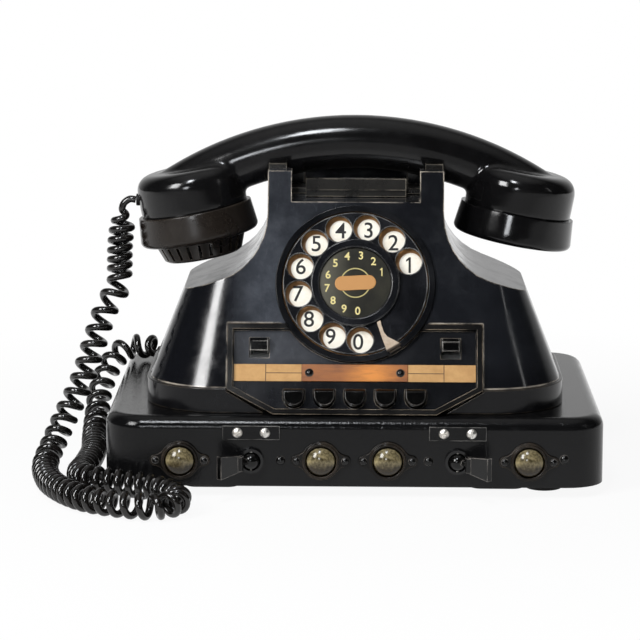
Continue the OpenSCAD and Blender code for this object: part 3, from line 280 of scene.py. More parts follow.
def mixed(tree, share, a, b):
    """Colour between a and b."""
    node = put(tree, "Mix", {"Factor": share}, data_type="RGBA")
    for socket, value in ((node.inputs[6], a), (node.inputs[7], b)):
        if isinstance(value, bpy.types.NodeSocket):
            tree.links.new(value, socket)
        else:
            socket.default_value = (*value, 1)
    return node.outputs[2]


def colour_by(tree, shader, colour):
    """Links a colour to the shader."""
    tree.links.new(colour, shader.inputs["Base Color"])


print("node helpers are ready")

# %% Group: rubbed edges and painted edge highlights
worn_and_lit_edges, gin, gout = new_group("worn_and_lit_edges", {"Width": 0.0008, "Patches": 90.0, "Amount": 1.0}, ["Mask"])
t = worn_and_lit_edges
rounded = put(t, "Bevel", {"Radius": gin["Width"]}, samples=6).outputs[0]
flat = put(t, "NewGeometry").outputs["Normal"]
facing = put(t, "VectorMath", {0: rounded, 1: flat}, operation="DOT_PRODUCT").outputs["Value"]
edge = ramp(t, facing, 0.994, 0.92)
broken = ramp(t, noise(t, gin["Patches"], 5.0, 0.65, here(t)), 0.36, 0.62)
t.links.new(times(t, times(t, edge, broken), gin["Amount"]), gout["Mask"])
print("group:", t.name)

# %% Group: handled haze
handled_haze, gin, gout = new_group("handled_haze", {"Patch scale": 22.0, "Scratch scale": 420.0},
                                    ["Haze", "Scratches"])
t = handled_haze
place = here(t)
t.links.new(ramp(t, noise(t, gin["Patch scale"], 7.0, 0.7, place), 0.42, 0.68), gout["Haze"])
drawn = put(t, "Mapping", {"Vector": place, "Rotation": (0.1, 0.05, 0.2), "Scale": (1.0, 1.0, 0.1)}).outputs[0]
t.links.new(ramp(t, noise(t, gin["Scratch scale"], 4.0, 0.6, drawn), 0.6, 0.76), gout["Scratches"])
print("group:", t.name)

# %% Group: paint grain
paint_grain, gin, gout = new_group("paint_grain", {"Scale": 1400.0}, ["Height"])
t = paint_grain
t.links.new(noise(t, gin["Scale"], 3.0, 0.6, here(t)), gout["Height"])
print("group:", t.name)

# %% Group: settled dust
settled_dust, gin, gout = new_group("settled_dust", {"Amount": 0.3}, ["Mask"])
t = settled_dust
on_top = ramp(t, axes(t, put(t, "NewGeometry").outputs["Normal"])["Z"], 0.55, 1.0)
cover = ramp(t, noise(t, 260.0, 6.0, 0.75, here(t)), 0.45, 0.75)
t.links.new(times(t, times(t, on_top, cover), gin["Amount"]), gout["Mask"])
print("group:", t.name)

# %% [markdown]
# ## Places on the dial and the panel
# The dial's face and the key panel both lean back. Their middles and directions are kept here, so
# that figures, discs and ruled lines can be placed in the faces' own millimetres.

# %% Where the dial and the panel are
FACE_TILT, PANEL_TILT = math.radians(20.5), math.radians(25)
DIAL = Vector((0, -60.16, 106.6)) * MM
DIAL_UP = Vector((0, math.sin(FACE_TILT), math.cos(FACE_TILT)))
DIAL_OUT = Vector((0, -math.cos(FACE_TILT), math.sin(FACE_TILT)))
PANEL = Vector((0, -67.488, 87.0)) * MM
PANEL_UP = Vector((0, math.sin(PANEL_TILT), math.cos(PANEL_TILT)))
HOLE_RING, HOLE_START, HOLE_STEP = 30 * MM, math.radians(23), math.radians(28)
PLATE_OUT, CARD_OUT = -1.5 * MM, 3.0 * MM
DIGITS = "1234567890"


def on_dial(x, y, out):
    """Point on the dial, in metres from its middle: right, up its face, outwards."""
    return DIAL + Vector((x, 0, 0)) + DIAL_UP * y + DIAL_OUT * out


def digit_place(i, radius, lag=0):
    """Right and up of figure i from the dial's middle, turned clockwise by lag in degrees."""
    a = HOLE_START + i * HOLE_STEP - math.radians(lag)
    return radius * math.cos(a), radius * math.sin(a)


print("middle of the dial, mm:", [round(c / MM, 1) for c in DIAL])

# %% [markdown]
# ## Black mouldings and paint
# The shell, the handset and the keys are hard black moulding that was polished and has aged: a
# bluish haze on the flat faces, brown where the gloss skin is rubbed off the edges. On the left of the
# fronts of the shell and the panel the haze colour is a painted sheen, and pale lines on the edges of
# keys, rims and the dial are painted highlights. The lamp box is painted metal with a fine grain. One
# maker function builds them all, with other values each time.

# %% Maker of dark finishes
DIAL_CLEAR = 43 * MM
DUST_GREY = (0.2, 0.19, 0.18)


def left_sheen_share(tree, place):
    """Share of haze colour on the front of the shell and panel, a painted sheen: full to the left of the dial, and
    fading towards all sides.
    """
    spot = axes(tree, place)
    painted_sheen = times(tree, ramp(tree, spot["X"], 15 * MM, -40 * MM, 0.12, 1.0),
                 ramp(tree, spot["X"], -68 * MM, -52 * MM))
    painted_sheen = times(tree, painted_sheen, ramp(tree, spot["Z"], 58 * MM, 70 * MM, 0.15, 1.0))
    return times(tree, painted_sheen, ramp(tree, spot["Z"], 150 * MM, 118 * MM, 0.45, 1.0))


def dark_finish(name, colour, haze_colour, haze_share, rough, rough_haze, wear_highlight_colour=(0.2, 0.16, 0.12),
                edge_lines=0.7, edge_width=0.0010, grain=0.0, grain_scale=1400.0, dust=0.0, coat=0.0, specular=0.5,
                patch_scale=22.0, painted_sheen_left=False, near_dial=0.0):
    """Black moulding or paint with haze, scratches, edge lines and grain. Edge lines are rubbed wear on
    some finishes and painted highlights on others. Faces flagged for the left sheen carry a painted sheen
    of haze colour on their left, and edges nearer to the dial than near_dial stay black."""
    material, tree, shader = new_material(name, coat=coat, specular=specular)
    shader.inputs["Coat Roughness"].default_value = 0.08
    place = here(tree)
    haze = use(tree, handled_haze, Patch_scale=patch_scale)
    scratched = times(tree, haze["Scratches"], 0.5)
    if painted_sheen_left:
        # Painted sheen: on the left of the front the haze colour stands in for a soft box's blurred reflection.
        painted_sheen = left_sheen_share(tree, place)
        cloudy = times(tree, ramp(tree, haze["Haze"], 0.0, 1.0, 0.55 * haze_share, haze_share), painted_sheen)
        scratched = times(tree, scratched, painted_sheen)
    else:
        cloudy = times(tree, haze["Haze"], haze_share)
    colour_now = mixed(tree, cloudy, colour, haze_colour)
    colour_now = mixed(tree, scratched, colour_now, haze_colour)
    if dust:
        colour_now = mixed(tree, use(tree, settled_dust, Amount=dust)["Mask"], colour_now, DUST_GREY)
    # Edge lines: rubbed wear on some finishes, painted highlights on others.
    if edge_lines:
        wear_and_highlight = use(tree, worn_and_lit_edges, Width=edge_width, Amount=edge_lines)["Mask"]
        wear_and_highlight = times(tree, wear_and_highlight, ramp(tree, distance(tree, place, DIAL), near_dial, near_dial + 2 * MM))
        colour_now = mixed(tree, wear_and_highlight, colour_now, wear_highlight_colour)
    colour_by(tree, shader, colour_now)
    tree.links.new(ramp(tree, haze["Haze"], 0.0, 1.0, rough, rough_haze), shader.inputs["Roughness"])
    relief = reckon(tree, "SUBTRACT", use(tree, paint_grain, Scale=grain_scale)["Height"], haze["Scratches"])
    bump = put(tree, "Bump", {"Strength": 0.02 + grain, "Distance": 0.0004, "Height": relief})
    tree.links.new(bump.outputs[0], shader.inputs["Normal"])
    return material


# shell_black and panel_black carry the painted sheen on the left of their fronts.
shell_black = dark_finish("shell_black", (0.004, 0.0044, 0.0058), (0.07, 0.078, 0.094), 0.8, 0.1, 0.24,
                          wear_highlight_colour=(0.6, 0.53, 0.44), edge_lines=1.0, edge_width=0.0011, dust=0.06, specular=0.6,
                          painted_sheen_left=True, near_dial=DIAL_CLEAR, patch_scale=60.0)
plinth_black = dark_finish("plinth_black", (0.004, 0.004, 0.0046), (0.010, 0.010, 0.0112), 0.4, 0.14, 0.28,
                           wear_highlight_colour=(0.3, 0.24, 0.17), edge_lines=0.6, specular=0.3)
handset_black = dark_finish("handset_black", (0.003, 0.0029, 0.0031), (0.008, 0.0078, 0.0082), 0.5, 0.11, 0.22,
                            edge_lines=0.0, coat=0.1, dust=0.03, specular=0.45)
cap_brown_black = dark_finish("cap_brown_black", (0.009, 0.0064, 0.0048), (0.022, 0.0172, 0.0134), 0.6, 0.2, 0.34,
                              edge_lines=0.3, coat=0.1, specular=0.4)
lamp_box_paint = dark_finish("lamp_box_paint", (0.0035, 0.0035, 0.0038), (0.0062, 0.0062, 0.0065), 0.5, 0.09, 0.16,
                             edge_lines=0.15, wear_highlight_colour=(0.12, 0.11, 0.1), grain=0.16, grain_scale=1100.0, dust=0.04,
                             specular=0.3)
plate_black = dark_finish("plate_black", (0.004, 0.004, 0.0043), (0.009, 0.009, 0.0094), 0.5, 0.2, 0.32,
                          wear_highlight_colour=(0.4, 0.385, 0.36), edge_lines=0.6, edge_width=0.0007, specular=0.25)
bezel_worn = dark_finish("bezel_worn", (0.003, 0.0027, 0.0025), (0.012, 0.0095, 0.0072), 0.5, 0.14, 0.28,
                         wear_highlight_colour=(0.3, 0.22, 0.15), edge_lines=0.4, edge_width=0.0006, specular=0.25, patch_scale=90.0)
panel_black = dark_finish("panel_black", (0.004, 0.0043, 0.0054), (0.075, 0.08, 0.092), 0.8, 0.12, 0.24,
                          wear_highlight_colour=(0.5, 0.42, 0.33), edge_lines=0.7, edge_width=0.0007, specular=0.4, painted_sheen_left=True)
# On rim_black, key_black, call_black and dial_black the pale edge lines are painted highlights, where edges would
# catch the lamps.
rim_black = dark_finish("rim_black", (0.004, 0.0038, 0.0038), (0.012, 0.0108, 0.009), 0.5, 0.14, 0.28,
                        wear_highlight_colour=(0.5, 0.4, 0.29), edge_lines=0.8, edge_width=0.0006, specular=0.4, near_dial=DIAL_CLEAR)
key_black = dark_finish("key_black", (0.0015, 0.0015, 0.0016), (0.004, 0.0037, 0.0034), 0.5, 0.07, 0.16,
                        wear_highlight_colour=(0.34, 0.31, 0.28), edge_lines=0.7, edge_width=0.0009, patch_scale=80.0, specular=0.4)
call_black = dark_finish("call_black", (0.002, 0.002, 0.0022), (0.006, 0.0055, 0.005), 0.4, 0.12, 0.22,
                         wear_highlight_colour=(0.6, 0.57, 0.53), edge_lines=1.0, edge_width=0.0011, specular=0.12)
case_black = dark_finish("case_black", (0.003, 0.0032, 0.004), (0.010, 0.0106, 0.0125), 0.5, 0.13, 0.26,
                         edge_lines=0.0, specular=0.4)
dial_black = dark_finish("dial_black", (0.0045, 0.0048, 0.006), (0.02, 0.0214, 0.026), 0.5, 0.13, 0.26,
                         wear_highlight_colour=(0.6, 0.58, 0.55), edge_lines=1.0, edge_width=0.0008, coat=0.05, specular=0.4)
fork_paint = dark_finish("fork_paint", (0.007, 0.0064, 0.0056), (0.022, 0.02, 0.0168), 0.7, 0.22, 0.38,
                         wear_highlight_colour=(0.5, 0.44, 0.35), edge_lines=0.5, edge_width=0.0008, specular=0.35)
rubber_black = dark_finish("rubber_black", (0.004, 0.004, 0.004), (0.010, 0.0093, 0.0086), 0.4, 0.4, 0.55,
                           edge_lines=0.0, specular=0.25)
cord_black = dark_finish("cord_black", (0.0045, 0.004, 0.0036), (0.015, 0.0128, 0.0108), 0.5, 0.12, 0.24,
                         edge_lines=0.0, coat=0.3, patch_scale=50.0, specular=0.6)
print("dark finishes:", sum(m.name.endswith(("black", "paint", "wear_and_highlight")) for m in bpy.data.materials))

# %% [markdown]
# ## Metals, glass and paper
# Screws and the finger stop are nickel that has gone warm with age; the stop's foot, where it bends
# down over the ring, is darkened as painted shade. The lamp lenses are pressed amber glass over a
# dark well, so they read olive with a dark rim. They are kept opaque, with clouds, a lower half
# darkened as painted shade and two pale wedges that are painted reflections, because a clear lens
# would only show the black well behind it.

# %% Metals
# Beyond this distance from the dial the finger stop's foot is painted in shade.
STOP_SHADE_FROM = 39 * MM


def metal_finish(name, colour, tarnish, rough, painted_shade_beyond=None, bare=1.0):
    """Bare metal with tarnish in patches and a fine grain, with painted shade beyond a distance from the dial."""
    material, tree, shader = new_material(name)
    shader.inputs["Metallic"].default_value = bare
    haze = use(tree, handled_haze, Patch_scale=120.0)
    colour_now = mixed(tree, haze["Haze"], colour, tarnish)
    # Painted shade: the foot, which bends down over the ring, turns dark brown.
    if painted_shade_beyond:
        shade_share = ramp(tree, distance(tree, here(tree), DIAL), painted_shade_beyond - 0.4 * MM, painted_shade_beyond + 0.4 * MM)
        colour_now = mixed(tree, shade_share, colour_now, (0.05, 0.036, 0.025))
    colour_by(tree, shader, colour_now)
    tree.links.new(ramp(tree, haze["Haze"], 0.0, 1.0, rough, rough + 0.2), shader.inputs["Roughness"])
    grains = use(tree, paint_grain, Scale=700.0)["Height"]
    bump = put(tree, "Bump", {"Strength": 0.05, "Distance": 0.0002, "Height": grains})
    tree.links.new(bump.outputs[0], shader.inputs["Normal"])
    return material


nickel = metal_finish("nickel", (0.9, 0.88, 0.84), (0.72, 0.67, 0.6), 0.26)
warm_nickel = metal_finish("warm_nickel", (0.66, 0.54, 0.42), (0.36, 0.265, 0.18), 0.32,
                           painted_shade_beyond=STOP_SHADE_FROM, bare=0.55)
steel = metal_finish("steel", (0.5, 0.5, 0.5), (0.36, 0.34, 0.32), 0.35)
brass = metal_finish("brass", (0.66, 0.5, 0.25), (0.4, 0.29, 0.14), 0.3)
print("metals: nickel, warm nickel, steel, brass")

# %% Lamp lenses and bulbs
pressed_amber, tree, shader = new_material("pressed_amber", 0.16)
own = put(tree, "TexCoord").outputs["Generated"]
flat = put(tree, "Mapping", {"Vector": own, "Location": (-0.5, 0.0, -0.5), "Scale": (1.0, 0.0, 1.0)}).outputs[0]
reach = put(tree, "VectorMath", {0: flat}, operation="LENGTH").outputs["Value"]
parts = axes(tree, flat)
cloud = noise(tree, 7.0, 5.0, 0.65, own)
# Painted shade: the lower half of the lens is darker.
painted_shade_height = reckon(tree, "ADD", parts["Z"], times(tree, cloud, 0.3))
olive = mixed(tree, ramp(tree, cloud, 0.38, 0.64), (0.05, 0.04, 0.018), (0.25, 0.205, 0.11))
painted_light = mixed(tree, ramp(tree, painted_shade_height, -0.1, 0.3), (0.026, 0.018, 0.008), olive)
aside, level_off = reckon(tree, "ABSOLUTE", parts["X"]), reckon(tree, "ABSOLUTE", parts["Z"])
# Painted reflections: two pale wedges at left and right.
painted_reflection_wedge = times(tree, ramp(tree, aside, 0.16, 0.36), ramp(tree, level_off, 0.16, 0.02))
painted_light = mixed(tree, times(tree, painted_reflection_wedge, cloud), painted_light, (0.4, 0.33, 0.17))
painted_light = mixed(tree, ramp(tree, reach, 0.447, 0.462), painted_light, (0.006, 0.005, 0.003))
colour_by(tree, shader, painted_light)

bulb_glass, tree, shader = new_material("bulb_glass", 0.1)
colour_by(tree, shader, mixed(tree, noise(tree, 200.0, 2.0), (0.85, 0.82, 0.72), (0.7, 0.66, 0.55)))
print("lens finish:", pressed_amber.name)

# %% [markdown]
# ## Number plate, card and labels
# The dial's plate shows a pale disc behind each finger hole, on a brown ground. The discs sit a little
# to the lower right, so the brown shows at the upper left of each hole as a painted shadow of the
# wheel. The card is lighter to the left, a painted reflection. The discs, the card's thin circle and
# the ruled lines of the label papers are drawn by distance in the object's own coordinates, so that
# they stay crisp and need no image.

# %% Number plate and card
DISC_R, DISC_EDGE, DISC_SHADE_SHIFT = 5.9 * MM, 0.15 * MM, (1.1 * MM, -0.7 * MM)
CIRCLE_R, CIRCLE_W = 7.6 * MM, 0.38 * MM


def rule(tree, value, at, width, core):
    """Thin line where value is at, full over its core and gone beyond its width."""
    return ramp(tree, reckon(tree, "ABSOLUTE", reckon(tree, "SUBTRACT", value, at)), width, core)


number_enamel, tree, shader = new_material("number_enamel", 0.3)
place = here(tree)
pale = None
for i in range(len(DIGITS)):
    x, y = digit_place(i, HOLE_RING)
    # The discs are shifted to the lower right, so the brown shows as a painted shadow at the upper left.
    spot = distance(tree, place, on_dial(x + DISC_SHADE_SHIFT[0], y + DISC_SHADE_SHIFT[1], PLATE_OUT))
    disc = ramp(tree, spot, DISC_R + DISC_EDGE, DISC_R - DISC_EDGE)
    pale = disc if pale is None else reckon(tree, "MAXIMUM", pale, disc)
stain = noise(tree, 140.0, 6.0, 0.7, place)
cream = mixed(tree, ramp(tree, stain, 0.45, 0.8), (0.93, 0.885, 0.78), (0.8, 0.71, 0.55))
# Brown ground: painted shade of the wheel inside the holes, with random stains.
brown_painted_shade = mixed(tree, ramp(tree, stain, 0.35, 0.7), (0.3, 0.15, 0.05), (0.15, 0.07, 0.022))
colour_by(tree, shader, mixed(tree, pale, brown_painted_shade, cream))

card_olive, tree, shader = new_material("card_olive", 0.28, 0.2)
place = here(tree)
circle = rule(tree, distance(tree, place, on_dial(0, 0, CARD_OUT)), CIRCLE_R, CIRCLE_W, 0.22 * MM)
stain = noise(tree, 90.0, 6.0, 0.7, place)
olive = mixed(tree, ramp(tree, stain, 0.4, 0.75), (0.010, 0.0096, 0.0063), (0.028, 0.026, 0.0165))
# Painted reflection: the card turns lighter towards the left.
painted_reflection_left = ramp(tree, axes(tree, place)["X"], -2 * MM, -21 * MM, 0.0, 0.7)
olive = mixed(tree, painted_reflection_left, olive, (0.16, 0.15, 0.115))
colour_by(tree, shader, mixed(tree, circle, olive, (0.44, 0.38, 0.16)))
print("number plate with discs:", len(DIGITS))

# %% Papers, copper label and coils
RULE_X, RULE_Y, RULE_W = 46 * MM, -26.0 * MM, 0.26 * MM
RULE_END = 0.1 * MM
# Place of a painted highlight on the copper label, right of the panel's middle.
HIGHLIGHT_X = 9 * MM

ruled_paper, tree, shader = new_material("ruled_paper", 0.75)
place = here(tree)
wide = reckon(tree, "ABSOLUTE", axes(tree, place)["X"])
from_top = put(tree, "VectorMath", {0: place, 1: PANEL}, operation="SUBTRACT").outputs[0]
high = put(tree, "VectorMath", {0: from_top, 1: PANEL_UP}, operation="DOT_PRODUCT").outputs["Value"]
inner = ramp(tree, wide, RULE_X + RULE_END, RULE_X - RULE_END)
level_rule = times(tree, rule(tree, high, RULE_Y, RULE_W, RULE_W / 2), inner)
ruled = reckon(tree, "MAXIMUM", rule(tree, wide, RULE_X, RULE_W, RULE_W / 2), level_rule)
stain = noise(tree, 110.0, 7.0, 0.7, place)
tan = mixed(tree, ramp(tree, stain, 0.4, 0.75), (0.52, 0.3, 0.115), (0.38, 0.2, 0.066))
colour_by(tree, shader, mixed(tree, ruled, tan, (0.06, 0.035, 0.02)))

copper_label, tree, shader = new_material("copper_label", 0.4, 0.05)
place = here(tree)
brushed = put(tree, "Mapping", {"Vector": place, "Scale": (0.5, 3.0, 3.0)}).outputs[0]
stain = noise(tree, 70.0, 7.0, 0.7, brushed)
copper = mixed(tree, ramp(tree, stain, 0.35, 0.7), (0.16, 0.05, 0.01), (0.34, 0.11, 0.017))
# Painted highlight: a bright orange spot on the copper near the middle.
highlight_distance = distance(tree, place, PANEL + PANEL_UP * RULE_Y + Vector((HIGHLIGHT_X, 0, 0)))
painted_light = times(tree, ramp(tree, highlight_distance, 17 * MM, 3 * MM), ramp(tree, stain, 0.3, 0.6))
colour_by(tree, shader, mixed(tree, painted_light, copper, (0.62, 0.22, 0.028)))

coil_brown, tree, shader = new_material("coil_brown", 0.6)
colour_by(tree, shader, mixed(tree, noise(tree, 150.0, 5.0), (0.16, 0.07, 0.035), (0.3, 0.15, 0.07)))
print("painted faces: number plate, card, papers, copper label, coils")

# %% [markdown]
# ## Finishes on the pieces
# Each solid of the frame takes one finish, and the cord takes its own.

# %% Put the finishes on


def dress(material, *names):
    """Gives solids of the frame a finish."""
    for name in names:
        slots = nodes[name].data.materials
        slots.clear()
        slots.append(material)


buttons = ["line_button_%d" % (i + 1) for i in range(5)]
lenses = ["lamp_lens_%d" % (i + 1) for i in range(4)]
call_keys, levers, bosses, key_plates = (
    [kind + side for side in ("_left", "_right")] for kind in ("call_key", "key_lever", "key_boss", "key_plate"))
dress(lamp_box_paint, "base_housing", "bottom_plate")
dress(plate_black, *key_plates)
dress(bezel_worn, "lamp_bezels")
dress(shell_black, "body_shell")
dress(plinth_black, "body_plinth")
dress(handset_black, "handset_handle", "earpiece_cap", *bosses)
dress(cap_brown_black, "mouthpiece_cap", "mouthpiece_grille")
dress(panel_black, "panel_plate")
dress(rim_black, "panel_frame")
dress(key_black, *buttons, *levers, "black_screws")
dress(call_black, *call_keys)
dress(case_black, "dial_case")
dress(dial_black, "finger_wheel", "card_ring")
dress(fork_paint, "cradle_fork")
dress(rubber_black, "rubber_feet", "line_cable_gland", "body_cord_gland", "handset_gland")
dress(nickel, "nickel_screws", "key_pivot_pins")
dress(warm_nickel, "finger_stop")
dress(steel, "key_frames", "chassis_plate", "button_frame", "bell_gongs", "transmitter_capsule",
      "receiver_capsule")
dress(brass, "lamp_holders", "dial_gear", "governor", "bell_clapper")
dress(pressed_amber, *lenses)
dress(bulb_glass, "lamp_bulbs")
dress(number_enamel, "number_plate")
dress(card_olive, "number_card")
dress(ruled_paper, "label_papers")
dress(copper_label, "label_plate")
dress(coil_brown, "hook_switch", "ringer_coils", "induction_coil", "terminal_strip")
cord.data.materials.append(cord_black)
print("pieces with a finish:", len(nodes))

# %% [markdown]
# ## Softer edges
# Moulded and pressed pieces have small rounded edges, and these catch the light as thin bright
# lines. A bevel modifier gives them without touching the solids: points are merged first, flat
# triangles are joined, and the bevel then only finds the real edges.

# %% Bevels
MERGE = 0.002 * MM
FLAT_ANGLE, EDGE_ANGLE = math.radians(0.05), math.radians(32)


def soften(width, *names, segments=2):
    """Rounds the edges of solids by a width in millimetres."""
    for name in names:
        solid = nodes[name]
        solid.data.polygons.foreach_set("use_smooth", [True] * len(solid.data.polygons))
        solid.modifiers.new("merge", "WELD").merge_threshold = MERGE
        flats = solid.modifiers.new("flats", "DECIMATE")
        flats.decimate_type = "DISSOLVE"
        flats.angle_limit = FLAT_ANGLE
        edges = solid.modifiers.new("edges", "BEVEL")
        edges.width = width * MM
        edges.segments = segments
        edges.limit_method = "ANGLE"
        edges.angle_limit = EDGE_ANGLE
        edges.use_clamp_overlap = True
        solid.modifiers.new("shading", "WEIGHTED_NORMAL").keep_sharp = True


soften(1.2, "body_plinth", segments=3)
soften(0.9, "body_shell")
soften(0.9, "finger_wheel", "card_ring", segments=3)
soften(0.6, *call_keys)
soften(0.5, "panel_frame", "cradle_fork", "dial_case", *levers, "earpiece_cap", "mouthpiece_cap")
soften(0.45, *buttons, segments=3)
soften(0.4, "lamp_bezels", "base_housing", "mouthpiece_grille", *bosses, "rubber_feet")
soften(0.25, "panel_plate", *key_plates, "finger_stop", "label_plate", "line_cable_gland", "handset_gland",
       "body_cord_gland")
soften(0.12, "black_screws", "nickel_screws", *lenses, "number_card", "number_plate")
print("pieces with softer edges:", sum("edges" in o.modifiers for o in nodes.values()))

# %% [markdown]
# ## Handset moulding
# The real handle flows into its two cups with a soft fillet. The solid has a hard crease there, so
# the visible piece is a skin wrapped over the solid, smoothed a little.

# %% Handset moulding
SKIN_VOXEL, SKIN_PASSES = 1.1 * MM, 9


def result_of(carrier):
    """Mesh of an object with its modifiers or text worked out. The object itself is removed."""
    mesh = bpy.data.meshes.new_from_object(carrier.evaluated_get(bpy.context.evaluated_depsgraph_get()))
    bpy.data.objects.remove(carrier)
    return mesh


def skin_over(name, source):
    """New piece: a smooth skin over a solid of the frame."""
    wrap = bpy.data.objects.new(name + "_wrap", nodes[source].data.copy())
    scene.collection.objects.link(wrap)
    wrap.modifiers.new("merge", "WELD").merge_threshold = MERGE
    cover = wrap.modifiers.new("skin", "REMESH")
    cover.mode = "VOXEL"
    cover.voxel_size = SKIN_VOXEL
    smooth = wrap.modifiers.new("smooth", "SMOOTH")
    smooth.factor = 0.5
    smooth.iterations = SKIN_PASSES
    mesh = result_of(wrap)
    mesh.name = name
    mesh.polygons.foreach_set("use_smooth", [True] * len(mesh.polygons))
    piece = bpy.data.objects.new(name, mesh)
    scene.collection.objects.link(piece)
    return piece


moulding = skin_over("handset_moulding", "handset_handle")
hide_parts("handset_handle")
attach(moulding, "handset")
print("faces of the handset moulding:", len(moulding.data.polygons))

# %% [markdown]
# ## Figures on the dial
# The figures are set upright, black on the plate and yellow on the card. They are thin meshes, so
# that they are real shapes on the model: text turned into a mesh, and the 1 drawn with a flag.

# %% Figures
ONE = [(0.09, -0.5), (0.09, 0.5), (-0.02, 0.5), (-0.21, 0.33), (-0.21, 0.21), (-0.05, 0.31), (-0.05, -0.5)]
FIGURE_T, FIGURE_MERGE = 0.03 * MM, 0.0005 * MM
TEXT_SIZE = 1.4


def figure_points(character, height, bold):
    """Points and faces of one figure, flat around its middle. The 9 is a turned 6."""
    if character == "1":
        points = [(x * height, y * height, z) for z in (-FIGURE_T, FIGURE_T) for x, y in ONE]
        return np.array(points), walls(2, len(ONE)) + caps(2, len(ONE))
    text = bpy.data.curves.new("figure", "FONT")
    text.body = "6" if character == "9" else character
    text.size = height * TEXT_SIZE
    text.offset = bold
    text.extrude = FIGURE_T
    carrier = bpy.data.objects.new("figure", text)
    scene.collection.objects.link(carrier)
    bpy.context.view_layer.update()
    mesh = result_of(carrier)
    points = np.array([v.co for v in mesh.vertices])
    polygons = [tuple(p.vertices) for p in mesh.polygons]
    bpy.data.meshes.remove(mesh)
    points -= (points.max(0) + points.min(0)) / 2
    points[:, :2] *= height / np.ptp(points[:, 1]) * (-1 if character == "9" else 1)
    return points, polygons


def figures(name, radius, height, out, bold, material, body, drop=0, lag=0):
    """One piece with the ten figures around the dial."""
    verts, polygons = [], []
    for i, character in enumerate(DIGITS):
        points, own = figure_points(character, height, bold)
        x, y = digit_place(i, radius, lag)
        polygons += [tuple(k + len(verts) for k in p) for p in own]
        verts += [on_dial(x + p[0], y - drop + p[1], out + p[2]) for p in points]
    piece = new_piece(name, verts, polygons, False)
    whole = bmesh.new()
    whole.from_mesh(piece.data)
    bmesh.ops.remove_doubles(whole, verts=whole.verts, dist=FIGURE_MERGE)
    bmesh.ops.recalc_face_normals(whole, faces=whole.faces)
    whole.to_mesh(piece.data)
    whole.free()
    piece.data.materials.append(material)
    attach(piece, body)
    return piece


figure_black, tree, shader = new_material("figure_black", 0.4)
fade = ramp(tree, noise(tree, 300.0, 4.0), 0.5, 0.8)
colour_by(tree, shader, mixed(tree, fade, (0.004, 0.004, 0.004), (0.02, 0.018, 0.016)))
figure_yellow, tree, shader = new_material("figure_yellow", 0.45)
fade = ramp(tree, noise(tree, 250.0, 4.0), 0.45, 0.8)
colour_by(tree, shader, mixed(tree, fade, (0.72, 0.62, 0.26), (0.5, 0.41, 0.15)))
plate_figures = figures("plate_figures", HOLE_RING, 8.3 * MM, PLATE_OUT + 0.02 * MM, 0.09 * MM, figure_black,
                        "telephone", drop=0.3 * MM, lag=1.9)
card_figures = figures("card_figures", 14.8 * MM, 4.2 * MM, CARD_OUT + 0.02 * MM, 0.1 * MM, figure_yellow,
                       "dial wheel")
print("figures:", len(plate_figures.data.polygons), len(card_figures.data.polygons))

# %% [markdown]
# ## Paper slip
# A slip of paper with round ends is stuck on the card, not quite level.

# %% Paper slip on the card
SLIP_W, SLIP_H, SLIP_T, SLIP_TILT = 21.3 * MM, 7.6 * MM, 0.35 * MM, math.radians(3)
SLIP_LEVELS = ((0.0, 1.0), (0.7, 1.0), (1.0, 0.97))
END_STEPS, END_ANGLE = 13, 15
ring = []
for end, start in ((1, -90), (-1, 90)):
    for step in range(END_STEPS):
        a = math.radians(start + step * END_ANGLE)
        ring.append((end * (SLIP_W - SLIP_H) / 2 + SLIP_H / 2 * math.cos(a), SLIP_H / 2 * math.sin(a)))
cosine, sine = math.cos(SLIP_TILT), math.sin(SLIP_TILT)
points = [on_dial(grow * (x * cosine - y * sine), grow * (x * sine + y * cosine), CARD_OUT + SLIP_T * share)
          for share, grow in SLIP_LEVELS for x, y in ring]
slip_faces = walls(len(SLIP_LEVELS), len(ring)) + caps(len(SLIP_LEVELS), len(ring))
slip = new_piece("paper_slip", points, slip_faces, False)
slip_paper, tree, shader = new_material("slip_paper", 0.6)
stain = ramp(tree, noise(tree, 160.0, 6.0, 0.7), 0.35, 0.75)
colour_by(tree, shader, mixed(tree, stain, (0.5, 0.25, 0.075), (0.4, 0.18, 0.05)))
slip.data.materials.append(slip_paper)
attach(slip, "dial wheel")
print("paper slip, mm:", round(SLIP_W / MM, 1), "x", round(SLIP_H / MM, 1))

# %% [markdown]
# ## Studio
# A pale floor runs out of sight. A broad soft box lights the telephone from the left, a narrow one
# hangs above the camera, and two weak ones are in front and on the right. In reflections, floor and
# world are white behind the object and dim in front, so that polished black reads as black.

# %% Floor
FLOOR = 6.0


def rays(tree):
    """Two masks: camera rays, and all rays that show a surface, in view, in a mirror or through glass."""
    path = put(tree, "LightPath").outputs
    seen = reckon(tree, "MAXIMUM", path["Is Camera Ray"], path["Is Glossy Ray"])
    return path["Is Camera Ray"], reckon(tree, "MAXIMUM", seen, path["Is Transmission Ray"])


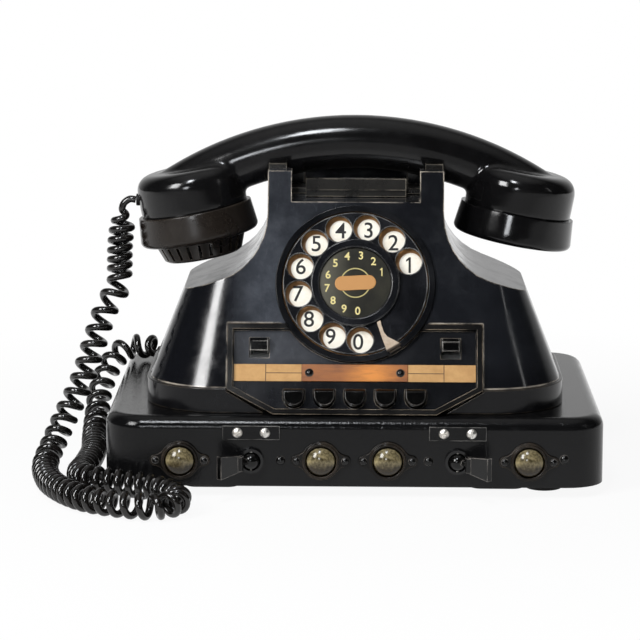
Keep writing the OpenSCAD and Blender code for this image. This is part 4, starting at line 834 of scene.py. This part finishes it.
corners = [(-FLOOR, -FLOOR, 0), (FLOOR, -FLOOR, 0), (FLOOR, FLOOR, 0), (-FLOOR, FLOOR, 0)]
floor = new_piece("floor", corners, [(0, 1, 2, 3)])
pale_floor, tree, shader = new_material("pale_floor", 0.9, specular=0.1)
shader.inputs["Base Color"].default_value = (0.88, 0.88, 0.88, 1)
in_view, seen = rays(tree)
place = here(tree)
mirrored = ramp(tree, axes(tree, place)["Y"], -0.7, 0.3, 0.35, 1.0)
strength = reckon(tree, "MAXIMUM", in_view, mirrored)
lit = put(tree, "Emission", {"Color": (1, 1, 1, 1), "Strength": strength})
away = put(tree, "VectorMath", {0: place}, operation="LENGTH").outputs["Value"]
share = times(tree, seen, ramp(tree, away, 0.2, 0.45, 0.92, 1.0))
both = put(tree, "MixShader", {0: share, 1: shader.outputs[0], 2: lit.outputs[0]})
tree.links.new(both.outputs[0], tree.nodes["Material Output"].inputs["Surface"])
floor.data.materials.append(pale_floor)
print("floor, m:", 2 * FLOOR)

# %% World
ROOM_LIGHT = 0.2
world = bpy.data.worlds.new("studio")
scene.world = world
world.use_nodes = True
tree = world.node_tree
for node in list(tree.nodes):
    tree.nodes.remove(node)
in_view, seen = rays(tree)
toward = axes(tree, put(tree, "TexCoord").outputs["Generated"])
behind = ramp(tree, toward["Y"], 0.4, 0.92, 0.025, 0.62)
overhead = ramp(tree, toward["Z"], 0.75, 0.98, 0.0, 0.4)
grey = reckon(tree, "MAXIMUM", behind, overhead)
room = put(tree, "CombineColor", {0: grey, 1: grey, 2: grey}).outputs[0]
backdrop = mixed(tree, in_view, room, (1, 1, 1))
soft = put(tree, "Background", {"Color": (1, 1, 1, 1), "Strength": ROOM_LIGHT})
shown = put(tree, "Background", {"Color": backdrop, "Strength": 1.0})
both = put(tree, "MixShader", {0: seen, 1: soft.outputs[0], 2: shown.outputs[0]})
put(tree, "OutputWorld", {"Surface": both.outputs[0]})
print("world:", world.name)

# %% Soft boxes
MIDDLE = (0, 0, 0.1)
COOL = (0.93, 0.96, 1.0)


def soft_box(name, place, aim, width, height, power, tint=(1, 1, 1)):
    """Area lamp that faces a point."""
    lamp = bpy.data.lights.new(name, "AREA")
    lamp.shape = "RECTANGLE"
    lamp.size, lamp.size_y = width, height
    lamp.energy = power
    lamp.color = tint
    box = bpy.data.objects.new(name, lamp)
    box.location = place
    box.rotation_euler = (Vector(aim) - Vector(place)).to_track_quat("-Z", "Y").to_euler()
    scene.collection.objects.link(box)


soft_box("left_box", (-1.02, -1.16, 0.95), MIDDLE, 0.5, 0.75, 22)
soft_box("high_box", (-0.21, -0.98, 1.40), (0, -0.07, 0.1), 0.24, 0.4, 9, COOL)
soft_box("front_box", (-0.3, -1.62, 0.42), MIDDLE, 0.24, 0.2, 2.5, COOL)
soft_box("right_strip", (1.2, -0.53, 0.6), MIDDLE, 0.05, 0.5, 0.2)
